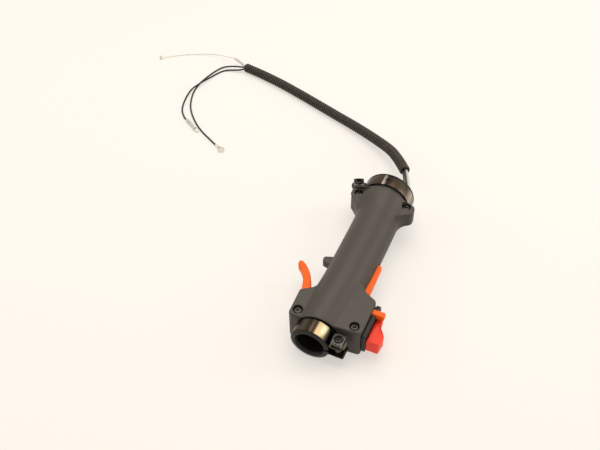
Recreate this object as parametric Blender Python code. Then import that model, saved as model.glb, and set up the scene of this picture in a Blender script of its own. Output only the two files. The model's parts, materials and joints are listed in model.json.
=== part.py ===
"""Throttle grip of a brush cutter: two half shells clamped round a 24 mm shaft tube.

Everything but the free cords is drawn in the grip's own frame: X to the palm side, Y from the front
clamp to the rear clamp along the tube, Z square to the plane where the half shells part.  The grip lies
on its side, so that frame is tilted by the small angle at which its two ends rest on a table.
"""
import math

import bmesh
import bpy
from mathutils import Matrix, Vector

mm = 0.001

# Shaft tube and fits
TUBE_D = 24.0 * mm
TUBE_CLEARANCE = 0.1 * mm
GAP = 0.3 * mm
RUNNING = 0.6 * mm
GRIP_LENGTH = 195.0 * mm

# Handle, the round body of the two shells
HANDLE_R = 20.6 * mm
HANDLE_OFFSET = 2.6 * mm
HUMP_R = 19.2 * mm
FLANGE_R = 24.0 * mm
HANDLE_FRONT = 15.6 * mm
HEAD_BLEND = 62.0 * mm
REAR_CLAMP_LENGTH = 17.8 * mm
FLANGE_LENGTH = 6.2 * mm
FLARE_LENGTH = 14.0 * mm
HANDLE_WALL = 1.8 * mm
WALL = 2.6 * mm
CHAMBER_FRONT = 66.2 * mm
CHAMBER_MARGIN = 5.2 * mm
HOOK_FRONT = 86.4 * mm
HOOK_LENGTH = 12.0 * mm
HOOK_REACH = 27.2 * mm
HOOK_DEPTH = 9.0 * mm

# Head, the wide front of the shells, in plan
HEAD_TOP = 13.5 * mm
HEAD_DEPTH = 18.2 * mm
HEAD_EDGE = 1.8 * mm
HEAD_LEFT = 27.0 * mm
HEAD_RIGHT = 38.2 * mm
HEAD_FRONT_LEFT = 13.4 * mm
HEAD_FRONT_RIGHT = 18.4 * mm
LEFT_LOBE_REAR = 41.5 * mm
RIGHT_LOBE_REAR = 58.5 * mm
POCKET_FRONT = 28.6 * mm
POCKET_INNER = 4.0 * mm
POCKET_REAR_WALL = 1.5 * mm
LEFT_POCKET_REAR = 50.0 * mm
LEFT_POCKET_CORNER = -15.6 * mm
RIGHT_POCKET_CORNER = 26.0 * mm

# Ears of the rear flange
EAR_X = 24.0 * mm
EAR_SETBACK = 5.6 * mm
EAR_REACH = 32.6 * mm
EAR_LENGTH = 12.0 * mm
EAR_ROOT = 19.6 * mm
EAR_ROOT_LENGTH = 21.0 * mm
EAR_SLANT = 2.8 * mm
EAR_TOP = 12.6 * mm
EAR_DEPTH = 6.4 * mm

# Shell screws
SCREW_SHANK_R = 1.9 * mm
SCREW_HEAD_R = 3.7 * mm
SCREW_HEAD_H = 2.8 * mm
SCREW_SINK = 3.4 * mm
SCREW_LENGTH = 22.0 * mm
EAR_SCREW_LENGTH = 12.5 * mm
DRIVE_R = 1.5 * mm
DRIVE_DEPTH = 1.4 * mm
FRONT_LEFT_SCREW = (-19.4 * mm, 20.8 * mm)
FRONT_RIGHT_SCREW = (30.4 * mm, 24.0 * mm)

# Clamp sleeves and bands
FRONT_SLEEVE_R = 16.0 * mm
FRONT_SLEEVE_REAR = 26.0 * mm
REAR_SLEEVE_R = 23.2 * mm
REAR_SPIGOT_R = 19.4 * mm
REAR_SLEEVE_LENGTH = 35.0 * mm
SLEEVE_LIP = 1.4 * mm
MOUTH_FLARE = 1.2 * mm
MOUTH_DEPTH = 3.0 * mm
SLEEVE_GROOVE = 1.2 * mm
SLEEVE_GROOVE_WIDTH = 3.0 * mm
SLEEVE_SLIT = 2.4 * mm
BAND_THICK = 1.2 * mm
BAND_WIDTH = 13.0 * mm
LUG_GAP = 8.8 * mm
LUG_LENGTH = 12.4 * mm
LUG_THICK = 1.6 * mm
LUG_ROUND = 6.2 * mm
NUT_SIDE = 10.0 * mm
NUT_H = 5.0 * mm
CLAMP_SCREW_R = 3.0 * mm
CLAMP_HEAD_R = 5.0 * mm
CLAMP_HEAD_H = 3.6 * mm
CLAMP_SCREW_PROUD = 0.6 * mm
PEG_R = 2.0 * mm

# Trigger
TRIGGER_PIVOT = Vector((-19.6 * mm, 35.2 * mm, 0.0))
TRIGGER_HALF = 5.0 * mm
TRIGGER_EDGE = 1.0 * mm
TRIGGER_HUB_R = 4.2 * mm
TRIGGER_PIN_R = 2.0 * mm
TRIGGER_ARM_HALF = 3.4 * mm
TRIGGER_PLATE = 2.5 * mm
TRIGGER_LINE = (
    (-20.1, 38.0, 3.8),
    (-22.2, 43.0, 4.1),
    (-25.0, 50.0, 4.2),
    (-28.2, 58.5, 3.8),
    (-32.3, 66.0, 3.4),
    (-37.2, 71.6, 3.2),
    (-41.0, 74.6, 3.0),
)

# Throttle cable
CASING_R = 2.3 * mm
PULL_WIRE_R = 0.6 * mm
CASING_ORBIT = 15.0 * mm
CASING_ANGLE = math.radians(223.0)
CASING_STOP = 58.0 * mm
CASING_TURN_START = 70.0 * mm
CASING_EASE = 10.0 * mm
CASING_EXIT_X = 16.4 * mm
NIPPLE_R = 2.0 * mm

# Switch leads inside the grip (points in millimetres, earth first)
LEAD_WAYS = (
    (
        (28.4, 50.5, -5.6),
        (24.6, 54.6, 0.6),
        (17.0, 55.0, 6.0),
        (13.2, 59.2, 7.6),
        (12.9, 66.0, 7.7),
        (12.9, 106.0, 7.7),
    ),
    (
        (28.6, 50.5, 1.6),
        (25.0, 54.0, 4.6),
        (17.5, 54.4, 8.9),
        (11.6, 58.8, 9.8),
        (11.2, 66.0, 9.9),
        (11.2, 106.0, 9.9),
    ),
)
LEAD_EXITS = ((14.2 * mm, 7.4 * mm), (11.4 * mm, 9.3 * mm))

# Palm lockout lever
LOCKOUT_PIVOT = Vector((18.6 * mm, 62.0 * mm, 0.0))
LOCKOUT_HALF = 2.8 * mm
LOCKOUT_HUB_R = 3.4 * mm
LOCKOUT_PIN_R = 1.5 * mm
LOCKOUT_FACE = 27.2 * mm
LOCKOUT_INNER = 19.4 * mm
LOCKOUT_REAR = 102.0 * mm
LOCKOUT_EDGE = 0.9 * mm

# Stop switch
BASE_THICK = 3.6 * mm
BASE_FRONT = 19.4 * mm
BASE_REAR = 58.0 * mm
BASE_TOP = 9.4 * mm
BASE_DEPTH = 12.0 * mm
KNOB_FRONT = 20.6 * mm
KNOB_REAR = 52.0 * mm
KNOB_HEIGHT = 12.0 * mm
KNOB_NECK_HEIGHT = 4.6 * mm
KNOB_TOP = 3.4 * mm
KNOB_NECK_TOP = 1.8 * mm
KNOB_DEPTH = 10.0 * mm
KNOB_WIDE_END = 31.0 * mm
KNOB_NECK_START = 42.0 * mm
STEM_FRONT = 30.0 * mm
STEM_REAR = 34.0 * mm
STEM_TOP = 1.0 * mm
STEM_FOOT = -5.0 * mm
STEM_END = 32.6 * mm
SWITCH_TRAVEL = 6.0 * mm
CONTACT_THICK = 1.0 * mm
TERMINAL_FRONT = 37.6 * mm
TERMINAL_REAR = 46.0 * mm
TERMINAL_WIDTH = 3.4 * mm
TERMINAL_LEVELS = (-7.2 * mm, 0.9 * mm)
RIB_FACE = 27.2 * mm
RIB_BACK = 24.4 * mm

# Throttle latch
LATCH_Y = 46.4 * mm
LATCH_Z = 7.6 * mm
LATCH_SIDE = 5.8 * mm
LATCH_OUT = 49.0 * mm
LATCH_IN = 32.2 * mm
LATCH_COLLAR = 1.6 * mm
LATCH_COLLAR_SIDE = 7.4 * mm

# Springs
SPRING_WIRE_R = 0.45 * mm
SPRING_PITCH = 1.4 * mm
COIL_POINTS = 9

# Free cords, laid on the table (points in millimetres from below the front face)
CONDUIT_R = 5.6 * mm
CONDUIT_VALLEY = 4.9 * mm
CONDUIT_BORE_R = 4.25 * mm
RIB_PITCH = 2.5 * mm
CONDUIT_STATION = 9.0 * mm
WIRE_R = 1.0 * mm
CARB_WIRE_R = 0.5 * mm
LINER_R = 1.7 * mm
CONDUIT_ROUTE = (
    (0.8, 240.3, 19.9),
    (-5.9, 249.5, 18.5),
    (-16.8, 263.1, 16.0),
    (-29.0, 275.1, 13.4),
    (-55.0, 292.4, 9.0),
    (-82.0, 306.1, 6.6),
    (-109.3, 317.0, 5.8),
    (-137.0, 327.5, 5.7),
    (-165.8, 338.0, 5.7),
    (-195.3, 348.0, 5.7),
    (-225.5, 356.2, 5.7),
    (-249.7, 361.4, 5.7),
)
LAY_START = math.radians(135.0)
LAY_TURN = math.radians(45.0)
CASING_LAY = (1.2 * mm, math.radians(180.0))
WIRE_A_LAY = (2.62 * mm, math.radians(-28.5))
WIRE_B_LAY = (2.62 * mm, math.radians(28.5))
CASING_SETBACK = 27.0 * mm
LINER_TAIL = ((-260.8, 366.8, 6.9), (-270.3, 370.9, 7.4))
CARB_ROUTE = (
    (-273.0, 371.4, 7.4),
    (-280.1, 371.9, 6.6),
    (-288.2, 373.0, 5.6),
    (-299.2, 373.9, 4.0),
    (-312.0, 372.7, 2.4),
    (-325.9, 368.0, 1.4),
    (-339.7, 360.9, 1.1),
    (-351.8, 351.0, 1.4),
    (-361.2, 341.9, 1.9),
)
WIRE_A_TAIL = (
    (-257.3, 358.8, 6.2),
    (-265.7, 358.3, 4.8),
    (-272.4, 357.3, 3.4),
    (-278.4, 354.8, 2.2),
    (-282.6, 349.2, 1.4),
    (-286.2, 336.0, 1.2),
    (-288.0, 323.0, 1.2),
    (-288.6, 309.8, 1.2),
    (-285.6, 291.0, 1.2),
    (-276.6, 269.6, 1.2),
    (-265.5, 253.9, 1.2),
    (-251.1, 239.6, 1.2),
    (-237.4, 229.4, 1.2),
    (-222.8, 221.0, 1.2),
    (-210.6, 214.4, 1.2),
)
WIRE_B_TAIL = (
    (-255.9, 356.1, 3.6),
    (-263.8, 354.0, 2.4),
    (-270.3, 352.0, 1.6),
    (-276.1, 347.6, 1.2),
    (-279.8, 339.5, 1.3),
    (-282.2, 330.0, 1.9),
    (-284.6, 318.0, 3.2),
    (-286.8, 308.0, 3.8),
    (-289.6, 293.0, 3.2),
    (-287.4, 275.0, 1.4),
    (-280.4, 256.6, 1.2),
    (-270.8, 245.0, 1.4),
    (-264.6, 240.6, 1.7),
)
TERMINAL_HOLE_R = 2.2 * mm
TERMINAL_RING_R = 4.0 * mm
TERMINAL_THICK = 0.8 * mm
CRIMP_LENGTH = 6.0 * mm
CRIMP_R = 1.7 * mm
BULLET_LENGTH = 26.0 * mm
BULLET_R = 1.2 * mm
BULLET_SLEEVE_R = 2.1 * mm
BULLET_SLEEVE_LENGTH = 18.0 * mm

# Fineness of round shapes
SMALL_ROUND = 14
RING = 32
CORD_STEP = 8.0 * mm
LEAD_STEP = 5.0 * mm

# Sizes that follow from the ones above
TUBE_BORE_R = TUBE_D / 2 + TUBE_CLEARANCE
TUNNEL_R = TUBE_D / 2 + GAP
HANDLE_REAR = GRIP_LENGTH - REAR_CLAMP_LENGTH
FLARE_END = HANDLE_REAR - FLANGE_LENGTH
FLARE_START = FLARE_END - FLARE_LENGTH
EAR_Y = HANDLE_REAR - EAR_SETBACK
REAR_SLEEVE_FRONT = GRIP_LENGTH - REAR_SLEEVE_LENGTH
HANDLE_BORE_R = HANDLE_R - HANDLE_OFFSET - HANDLE_WALL
FRONT_BAND_R = FRONT_SLEEVE_R + GAP
REAR_BAND_R = REAR_SLEEVE_R + GAP
FRONT_BAND_START = SLEEVE_LIP + GAP
REAR_BAND_START = GRIP_LENGTH - SLEEVE_LIP - GAP - BAND_WIDTH
PULL_X = CASING_ORBIT * math.cos(CASING_ANGLE)
PULL_Z = CASING_ORBIT * math.sin(CASING_ANGLE)
PLATE_TOP = PULL_Z - PULL_WIRE_R - GAP
FLOOR = -HEAD_DEPTH + WALL
CEILING = HEAD_TOP - WALL
BASE_BACK = HEAD_RIGHT + GAP
BASE_FACE = BASE_BACK + BASE_THICK
REST_TILT = math.atan((REAR_BAND_R + BAND_THICK - HEAD_DEPTH)
                      / (REAR_BAND_START - HEAD_FRONT_RIGHT - HEAD_EDGE))


def clear_scene():
    """Empties the scene of the objects that a new file starts with."""
    for obj in list(bpy.data.objects):
        bpy.data.objects.remove(obj, do_unlink=True)


def finish(name, colour, roughness, metallic=0.0):
    """A Principled material with one colour."""
    mat = bpy.data.materials.new(name)
    mat.use_nodes = True
    shader = mat.node_tree.nodes["Principled BSDF"]
    shader.inputs["Base Color"].default_value = (*colour, 1.0)
    shader.inputs["Roughness"].default_value = roughness
    shader.inputs["Metallic"].default_value = metallic
    return mat


def scratch(bm):
    """A nameless object from a bmesh, for Boolean work."""
    bmesh.ops.remove_doubles(bm, verts=bm.verts, dist=1e-7)
    bmesh.ops.recalc_face_normals(bm, faces=bm.faces)
    mesh = bpy.data.meshes.new("scratch")
    bm.to_mesh(mesh)
    bm.free()
    obj = bpy.data.objects.new("scratch", mesh)
    bpy.context.scene.collection.objects.link(obj)
    return obj


def boolean(body, tool, operation):
    """Joins, cuts or intersects two scratch objects; the first keeps the result."""
    mod = body.modifiers.new("boolean", "BOOLEAN")
    mod.operation = operation
    mod.solver = "EXACT"
    mod.object = tool
    graph = bpy.context.evaluated_depsgraph_get()
    mesh = bpy.data.meshes.new_from_object(body.evaluated_get(graph))
    body.modifiers.clear()
    body.data = mesh
    bpy.data.objects.remove(tool, do_unlink=True)
    return body


def cut(body, *tools):
    """Takes each tool's shape out of the body."""
    for tool in tools:
        boolean(body, tool, "DIFFERENCE")
    return body


def join(body, *tools):
    """Fuses each tool's shape to the body."""
    for tool in tools:
        boolean(body, tool, "UNION")
    return body


def node(name, obj, mat, parent, origin=None):
    """Names a finished solid, gives it a finish and puts its origin on its joint's axis."""
    origin = origin if origin is not None else Vector((0.0, 0.0, 0.0))
    obj.name = name
    obj.data.name = name
    obj.data.transform(Matrix.Translation(-origin))
    obj.location = origin
    obj.data.materials.clear()
    obj.data.materials.append(mat)
    obj.data.shade_smooth()
    obj.data.set_sharp_from_angle(angle=math.radians(32.0))
    obj.parent = parent
    return obj


def rounded(corners, steps=4):
    """A closed outline from (x, y, radius) corners, each turned by an arc of that radius."""
    points = []
    count = len(corners)
    for i, (x, y, radius) in enumerate(corners):
        here = Vector((x, y))
        before = Vector(corners[i - 1][:2]) - here
        after = Vector(corners[(i + 1) % count][:2]) - here
        if radius <= 0.0:
            points.append(here)
            continue
        before.normalize()
        after.normalize()
        half = before.angle(after) / 2
        setback = radius / math.tan(half)
        centre = here + (before + after).normalized() * radius / math.sin(half)
        start = here + before * setback - centre
        sweep = start.angle_signed(here + after * setback - centre)
        for k in range(steps + 1):
            points.append(centre + Matrix.Rotation(-sweep * k / steps, 2) @ start)
    return points


def prism(outline, low, high, edge=0.0, turn=None):
    """An outline in plan, raised from one level to another, with its rims rounded by edge."""
    bm = bmesh.new()
    face = bm.faces.new([bm.verts.new((p[0], p[1], low)) for p in outline])
    raised = bmesh.ops.extrude_face_region(bm, geom=[face])
    tops = [v for v in raised["geom"] if isinstance(v, bmesh.types.BMVert)]
    bmesh.ops.translate(bm, verts=tops, vec=(0.0, 0.0, high - low))
    if edge > 0.0:
        rims = [e for e in bm.edges if abs(e.verts[0].co.z - e.verts[1].co.z) < edge / 10]
        bmesh.ops.bevel(bm, geom=rims, offset=edge, segments=2, profile=0.5, affect="EDGES")
    if turn is not None:
        bmesh.ops.transform(bm, matrix=turn, verts=bm.verts)
    return scratch(bm)


def block(low, high, edge=0.0):
    """A box between two corners, with all its edges rounded by edge."""
    bm = bmesh.new()
    bmesh.ops.create_cube(bm, size=1.0)
    centre = [(a + b) / 2 for a, b in zip(low, high)]
    size = [b - a for a, b in zip(low, high)]
    bmesh.ops.transform(bm, matrix=Matrix.Translation(centre) @ Matrix.Diagonal((*size, 1.0)), verts=bm.verts)
    if edge > 0.0:
        bmesh.ops.bevel(bm, geom=bm.edges[:], offset=edge, segments=2, profile=0.5, affect="EDGES")
    return scratch(bm)


def rod(start, end, radius, sides=SMALL_ROUND, end_radius=None):
    """A round bar, or a cone, from one point to another."""
    start, end = Vector(start), Vector(end)
    run = end - start
    bm = bmesh.new()
    place = Matrix.Translation((start + end) / 2) @ run.to_track_quat("Z", "Y").to_matrix().to_4x4()
    bmesh.ops.create_cone(bm, cap_ends=True, segments=sides, radius1=radius, matrix=place, depth=run.length,
                          radius2=radius if end_radius is None else end_radius)
    return scratch(bm)


def turned(profile, sides=RING, closed=True):
    """A (radius, y) profile spun once round the tube's axis, closed or from axis to axis."""
    bm = bmesh.new()
    ring = [bm.verts.new((radius, y, 0.0)) for radius, y in profile]
    edges = [bm.edges.new((ring[i - 1], ring[i])) for i in range(0 if closed else 1, len(ring))]
    bmesh.ops.spin(bm, geom=ring + edges, axis=(0.0, 1.0, 0.0), cent=(0.0, 0.0, 0.0),
                   angle=2 * math.pi, steps=sides, use_merge=True)
    return scratch(bm)


def oval(centre_x, y, half_width, half_height):
    """One section of the handle, a ring of points square to the tube."""
    turn = 2 * math.pi / RING
    return [Vector((centre_x + half_width * math.cos(k * turn), y, half_height * math.sin(k * turn)))
            for k in range(RING)]


def loft(rings):
    """A closed body through rings of equal count, capped at both ends."""
    bm = bmesh.new()
    loops = [[bm.verts.new(p) for p in ring] for ring in rings]
    for one, two in zip(loops, loops[1:]):
        for k in range(len(one)):
            bm.faces.new((one[k - 1], one[k], two[k], two[k - 1]))
    bm.faces.new(loops[0])
    bm.faces.new(loops[-1])
    return scratch(bm)


def smooth_path(points, step):
    """Points a step apart on a smooth curve through the given points."""
    points = [Vector(p) for p in points]
    ends = [2 * points[0] - points[1]] + points + [2 * points[-1] - points[-2]]
    fine = []
    parts = 16
    for a, b, c, d in zip(ends, ends[1:], ends[2:], ends[3:]):
        for k in range(parts):
            t = k / parts
            fine.append(0.5 * (2 * b + (c - a) * t + (2 * a - 5 * b + 4 * c - d) * t ** 2
                               + (3 * b - a - 3 * c + d) * t ** 3))
    fine.append(points[-1])
    return evenly(fine, step)


def evenly(points, step):
    """The same line with its points evenly spaced, about a step apart."""
    reach = [0.0]
    for a, b in zip(points, points[1:]):
        reach.append(reach[-1] + (b - a).length)
    count = max(2, round(reach[-1] / step))
    result = []
    k = 0
    for i in range(count + 1):
        want = reach[-1] * i / count
        while k < len(points) - 2 and reach[k + 1] < want:
            k += 1
        share = (want - reach[k]) / max(reach[k + 1] - reach[k], 1e-12)
        result.append(points[k].lerp(points[k + 1], min(share, 1.0)))
    return result


def tube(points, radius, resolution=2, swell=None):
    """A closed tube along points; swell holds each point's share of the radius."""
    curve = bpy.data.curves.new("tube", "CURVE")
    curve.dimensions = "3D"
    curve.bevel_depth = radius
    curve.bevel_resolution = resolution
    curve.use_fill_caps = True
    spline = curve.splines.new("POLY")
    spline.points.add(len(points) - 1)
    for k, (target, p) in enumerate(zip(spline.points, points)):
        target.co = (*p, 1.0)
        target.radius = swell[k] if swell else 1.0
    holder = bpy.data.objects.new("tube", curve)
    bpy.context.scene.collection.objects.link(holder)
    graph = bpy.context.evaluated_depsgraph_get()
    mesh = bpy.data.meshes.new_from_object(holder.evaluated_get(graph))
    bpy.data.objects.remove(holder, do_unlink=True)
    bm = bmesh.new()
    bm.from_mesh(mesh)
    return scratch(bm)


def in_mm(points):
    """A route written in millimetres, as vectors in metres."""
    return [Vector(p) * mm for p in points]


def least_gap(points, radius, turn_points):
    """The smallest clear distance between turns of one tube, measured on its points."""
    best = math.inf
    for i, a in enumerate(points):
        for b in points[i + turn_points // 2:]:
            best = min(best, (a - b).length - 2 * radius)
    return best


# Shells

def head_outline():
    """The head in plan."""
    return rounded((
        (-HEAD_LEFT + 2 * mm, HEAD_FRONT_LEFT, 6.0 * mm),
        (HEAD_RIGHT, HEAD_FRONT_RIGHT, 3.0 * mm),
        (HEAD_RIGHT, RIGHT_LOBE_REAR - 3 * mm, 5.0 * mm),
        (LOCKOUT_PIVOT.x + 8.6 * mm, RIGHT_LOBE_REAR + 2.0 * mm, 6.0 * mm),
        (LOCKOUT_PIVOT.x + 0.6 * mm, LOCKOUT_PIVOT.y + 7.4 * mm, 4.0 * mm),
        (0.0, LOCKOUT_PIVOT.y + 7.4 * mm, 0.0),
        (-12.0 * mm, LOCKOUT_PIVOT.y + 7.4 * mm, 3.0 * mm),
        (-15.4 * mm, LEFT_LOBE_REAR + 7.8 * mm, 12.0 * mm),
        (-HEAD_LEFT, LEFT_LOBE_REAR, 3.0 * mm),
    ))


def ear_outline(side):
    """One ear of the rear flange in plan; the left one has a straight rear edge and a slanted side."""
    slant, rear_round = (EAR_SLANT, 1.8 * mm) if side < 0 else (0.0, 7.4 * mm)
    inner, root = EAR_ROOT / 2, HANDLE_REAR - EAR_ROOT_LENGTH
    corners = [
        (side * inner, root, 0.0),
        (side * EAR_ROOT, root, 5.0 * mm),
        (side * (EAR_REACH - slant), HANDLE_REAR - EAR_LENGTH, 5.6 * mm),
        (side * EAR_REACH, HANDLE_REAR, rear_round),
        (side * inner, HANDLE_REAR, 0.0),
    ]
    return rounded(corners if side > 0 else corners[::-1])


def housing_outside():
    """The shells as one solid block: handle, hump, flare, head and ears."""
    sections = (
        (0.0, HANDLE_FRONT, HUMP_R),
        (HANDLE_OFFSET * 0.3, HEAD_BLEND - 20 * mm, HUMP_R + 0.4 * mm),
        (HANDLE_OFFSET, HEAD_BLEND + 10 * mm, HANDLE_R - 0.4 * mm),
        (HANDLE_OFFSET, (HEAD_BLEND + FLARE_START) / 2, HANDLE_R),
        (HANDLE_OFFSET * 0.7, FLARE_START - 6 * mm, HANDLE_R + 0.2 * mm),
        (HANDLE_OFFSET * 0.4, FLARE_START + 3 * mm, HANDLE_R + 1.0 * mm),
        (0.0, FLARE_END - 3 * mm, FLANGE_R - 0.8 * mm),
        (0.0, FLARE_END, FLANGE_R),
        (0.0, HANDLE_REAR - mm, FLANGE_R),
        (0.0, HANDLE_REAR, FLANGE_R - mm),
    )
    body = loft([oval(x, y, radius, radius) for x, y, radius in sections])
    join(body, prism(head_outline(), -HEAD_DEPTH, HEAD_TOP, HEAD_EDGE))
    for side in (-1, 1):
        join(body, prism(ear_outline(side), -EAR_DEPTH, EAR_TOP, 1.6 * mm))
    root, end = -HOOK_REACH / 2, HOOK_FRONT + HOOK_LENGTH
    hook = rounded(((root, HOOK_FRONT, 0.0), (1.8 * mm - HOOK_REACH, HOOK_FRONT + 2 * mm, 2.2 * mm),
                    (-HOOK_REACH, end - 4.6 * mm, 2.2 * mm), (root, end, 0.0)))
    join(body, prism(hook, -HOOK_DEPTH, -GAP / 2 - mm, 0.8 * mm))
    return body


def cable_paths():
    """Where the casing and the two switch leads run inside the grip."""
    halfway = (CASING_STOP + CASING_TURN_START) / 2
    casing = [Vector((PULL_X, y, PULL_Z)) for y in (CASING_STOP, halfway)]
    turn_end = REAR_SLEEVE_FRONT - CASING_EASE
    turns = 12
    for k in range(turns + 1):
        share = k / turns
        angle = CASING_ANGLE + (2 * math.pi - CASING_ANGLE) * (3 - 2 * share) * share ** 2
        y = CASING_TURN_START + share * (turn_end - CASING_TURN_START)
        casing.append(Vector((CASING_ORBIT * math.cos(angle), y, CASING_ORBIT * math.sin(angle))))
    casing += [Vector((CASING_EXIT_X, y, 0.0)) for y in (REAR_SLEEVE_FRONT, GRIP_LENGTH)]
    leads = []
    for level, way, (x, z) in zip(TERMINAL_LEVELS, LEAD_WAYS, LEAD_EXITS):
        terminal = Vector((RIB_FACE + 2.0 * mm, TERMINAL_REAR + RUNNING, level))
        straight = (REAR_SLEEVE_FRONT - 8 * mm, REAR_SLEEVE_FRONT + 4 * mm, GRIP_LENGTH)
        leads.append([terminal, *in_mm(way), *(Vector((x, y, z)) for y in straight)])
    return smooth_path(casing, LEAD_STEP), [smooth_path(lead, LEAD_STEP) for lead in leads]


def head_pockets():
    """The two hollows of the head, one for the trigger and one for the switch, as cutters."""
    left_wall, right_wall = -HEAD_LEFT + WALL, HEAD_RIGHT - WALL
    right_rear = RIGHT_LOBE_REAR - POCKET_REAR_WALL
    left = rounded((
        (left_wall, POCKET_FRONT, 1.5 * mm),
        (-POCKET_INNER, POCKET_FRONT, 0.0),
        (-POCKET_INNER, LEFT_POCKET_REAR, 0.0),
        (LEFT_POCKET_CORNER, LEFT_LOBE_REAR + 4 * mm, 1.0 * mm),
        (left_wall, LEFT_LOBE_REAR - WALL, 1.5 * mm),
    ))
    right = rounded((
        (POCKET_INNER, POCKET_FRONT + mm, 0.0),
        (right_wall, POCKET_FRONT + mm, 1.5 * mm),
        (right_wall, right_rear - 3.5 * mm, 2.5 * mm),
        (RIGHT_POCKET_CORNER, right_rear, 2.0 * mm),
        (POCKET_INNER, right_rear, 0.0),
    ))
    carrier = block((RIB_BACK, TERMINAL_FRONT - 2 * mm, FLOOR - mm), (RIB_FACE, LATCH_Y + 4 * mm, CEILING + mm))
    return [prism(left, FLOOR, CEILING), cut(prism(right, FLOOR, CEILING), carrier)]


def screw_places():
    """Where the four shell screws stand, with the level of the surface round each head and their length."""
    return {
        "shell_screw_front_left": (*FRONT_LEFT_SCREW, HEAD_TOP, SCREW_LENGTH),
        "shell_screw_front_right": (*FRONT_RIGHT_SCREW, HEAD_TOP, SCREW_LENGTH),
        "shell_screw_rear_left": (-EAR_X, EAR_Y, EAR_TOP, EAR_SCREW_LENGTH),
        "shell_screw_rear_right": (EAR_X, EAR_Y, EAR_TOP, EAR_SCREW_LENGTH),
    }


def housing_cutters(casing, leads):
    """Everything that is taken out of the two shells."""
    tools = [turned(bore_profile(), closed=False)]
    tools += head_pockets()
    tools.append(tube([casing[0] - Vector((0.0, RUNNING, 0.0))] + casing[1:], CASING_R + RUNNING, 1))
    tools += [tube(lead, WIRE_R + RUNNING, 1) for lead in leads]
    for x, y, top, length in screw_places().values():
        tools.append(rod((x, y, top - SCREW_SINK), (x, y, top + 4 * mm), SCREW_HEAD_R + GAP))
        tools.append(rod((x, y, top - SCREW_SINK - length - mm), (x, y, top), SCREW_SHANK_R + GAP))
    wire_start, wire_end = (PULL_X, LEFT_LOBE_REAR, PULL_Z), (PULL_X, CASING_STOP + mm, PULL_Z)
    tools.append(rod(wire_start, wire_end, PULL_WIRE_R + GAP, 8))
    tools.append(prism(TRIGGER_SLOT, -TRIGGER_HALF - RUNNING, TRIGGER_HALF + RUNNING))
    tools.append(prism(LOCKOUT_SLOT, -LOCKOUT_HALF - RUNNING, LOCKOUT_HALF + RUNNING))
    for pivot, (low, high), radius in ((TRIGGER_PIVOT, trigger_pin_ends(), TRIGGER_PIN_R),
                                       (LOCKOUT_PIVOT, lockout_pin_ends(), LOCKOUT_PIN_R)):
        tools.append(rod((*pivot.xy, low - GAP), (*pivot.xy, high + GAP), radius + GAP))
    spring_top = (*LOCKOUT_PIVOT.xy, LOCKOUT_SPRING_TOP)
    tools.append(rod(LOCKOUT_PIVOT, spring_top, LOCKOUT_HUB_R + 0.8 * mm))
    tools.append(block((STEM_END - mm, STEM_FRONT - RUNNING, STEM_FOOT - RUNNING),
                       (HEAD_RIGHT + 2 * mm, STEM_REAR + SWITCH_TRAVEL + RUNNING, STEM_TOP + RUNNING)))
    half = LATCH_SIDE / 2 + GAP
    tools.append(block((HEAD_RIGHT - 2 * WALL, LATCH_Y - half, LATCH_Z - half),
                       (HEAD_RIGHT + 2 * mm, LATCH_Y + half, LATCH_Z + half)))
    return tools


def sleeve_seat(radius, start, end, groove_y):
    """The hollow that holds a sleeve, with a ridge that sits in the sleeve's groove."""
    ridge = radius - SLEEVE_GROOVE
    half = SLEEVE_GROOVE_WIDTH / 2 - GAP
    return [(radius, start), (radius, groove_y - half), (ridge, groove_y - half),
            (ridge, groove_y + half), (radius, groove_y + half), (radius, end)]


def bore_profile():
    """The hollow round the tube from end to end: sleeve seats, the tunnel and the handle's chamber."""
    start, end = HEAD_FRONT_LEFT - 4 * mm, HANDLE_REAR + 4 * mm
    band_room = FRONT_BAND_R + BAND_THICK + GAP
    band_end = FRONT_BAND_START + BAND_WIDTH + GAP
    profile = [(0.0, start), (band_room, start), (band_room, band_end)]
    profile += sleeve_seat(FRONT_SLEEVE_R + GAP, band_end, FRONT_SLEEVE_REAR + GAP, FRONT_GROOVE_Y)
    profile.append((TUNNEL_R, FRONT_SLEEVE_REAR + GAP))
    chamber_rear = REAR_SLEEVE_FRONT - CHAMBER_MARGIN
    profile += [(TUNNEL_R, CHAMBER_FRONT), (HANDLE_BORE_R, CHAMBER_FRONT), (HANDLE_BORE_R, chamber_rear),
                (TUNNEL_R, chamber_rear), (TUNNEL_R, REAR_SLEEVE_FRONT - GAP)]
    profile += sleeve_seat(REAR_SPIGOT_R + GAP, REAR_SLEEVE_FRONT - GAP, end, REAR_GROOVE_Y)
    return profile + [(0.0, end)]


def build_shells(parent, mat, casing, leads):
    """Two half shells that part in the plane of the tube's axis."""
    whole = cut(housing_outside(), *housing_cutters(casing, leads))
    side, deep = HEAD_LEFT + HEAD_RIGHT, HEAD_TOP + HEAD_DEPTH
    for name, low, high in (("upper_shell", -deep, GAP / 2), ("lower_shell", -GAP / 2, deep)):
        half = bpy.data.objects.new(name, whole.data.copy())
        bpy.context.scene.collection.objects.link(half)
        cut(half, block((-side, 0.0, low), (side, GRIP_LENGTH, high)))
        node(name, half, mat, parent)
    bpy.data.objects.remove(whole, do_unlink=True)


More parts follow.
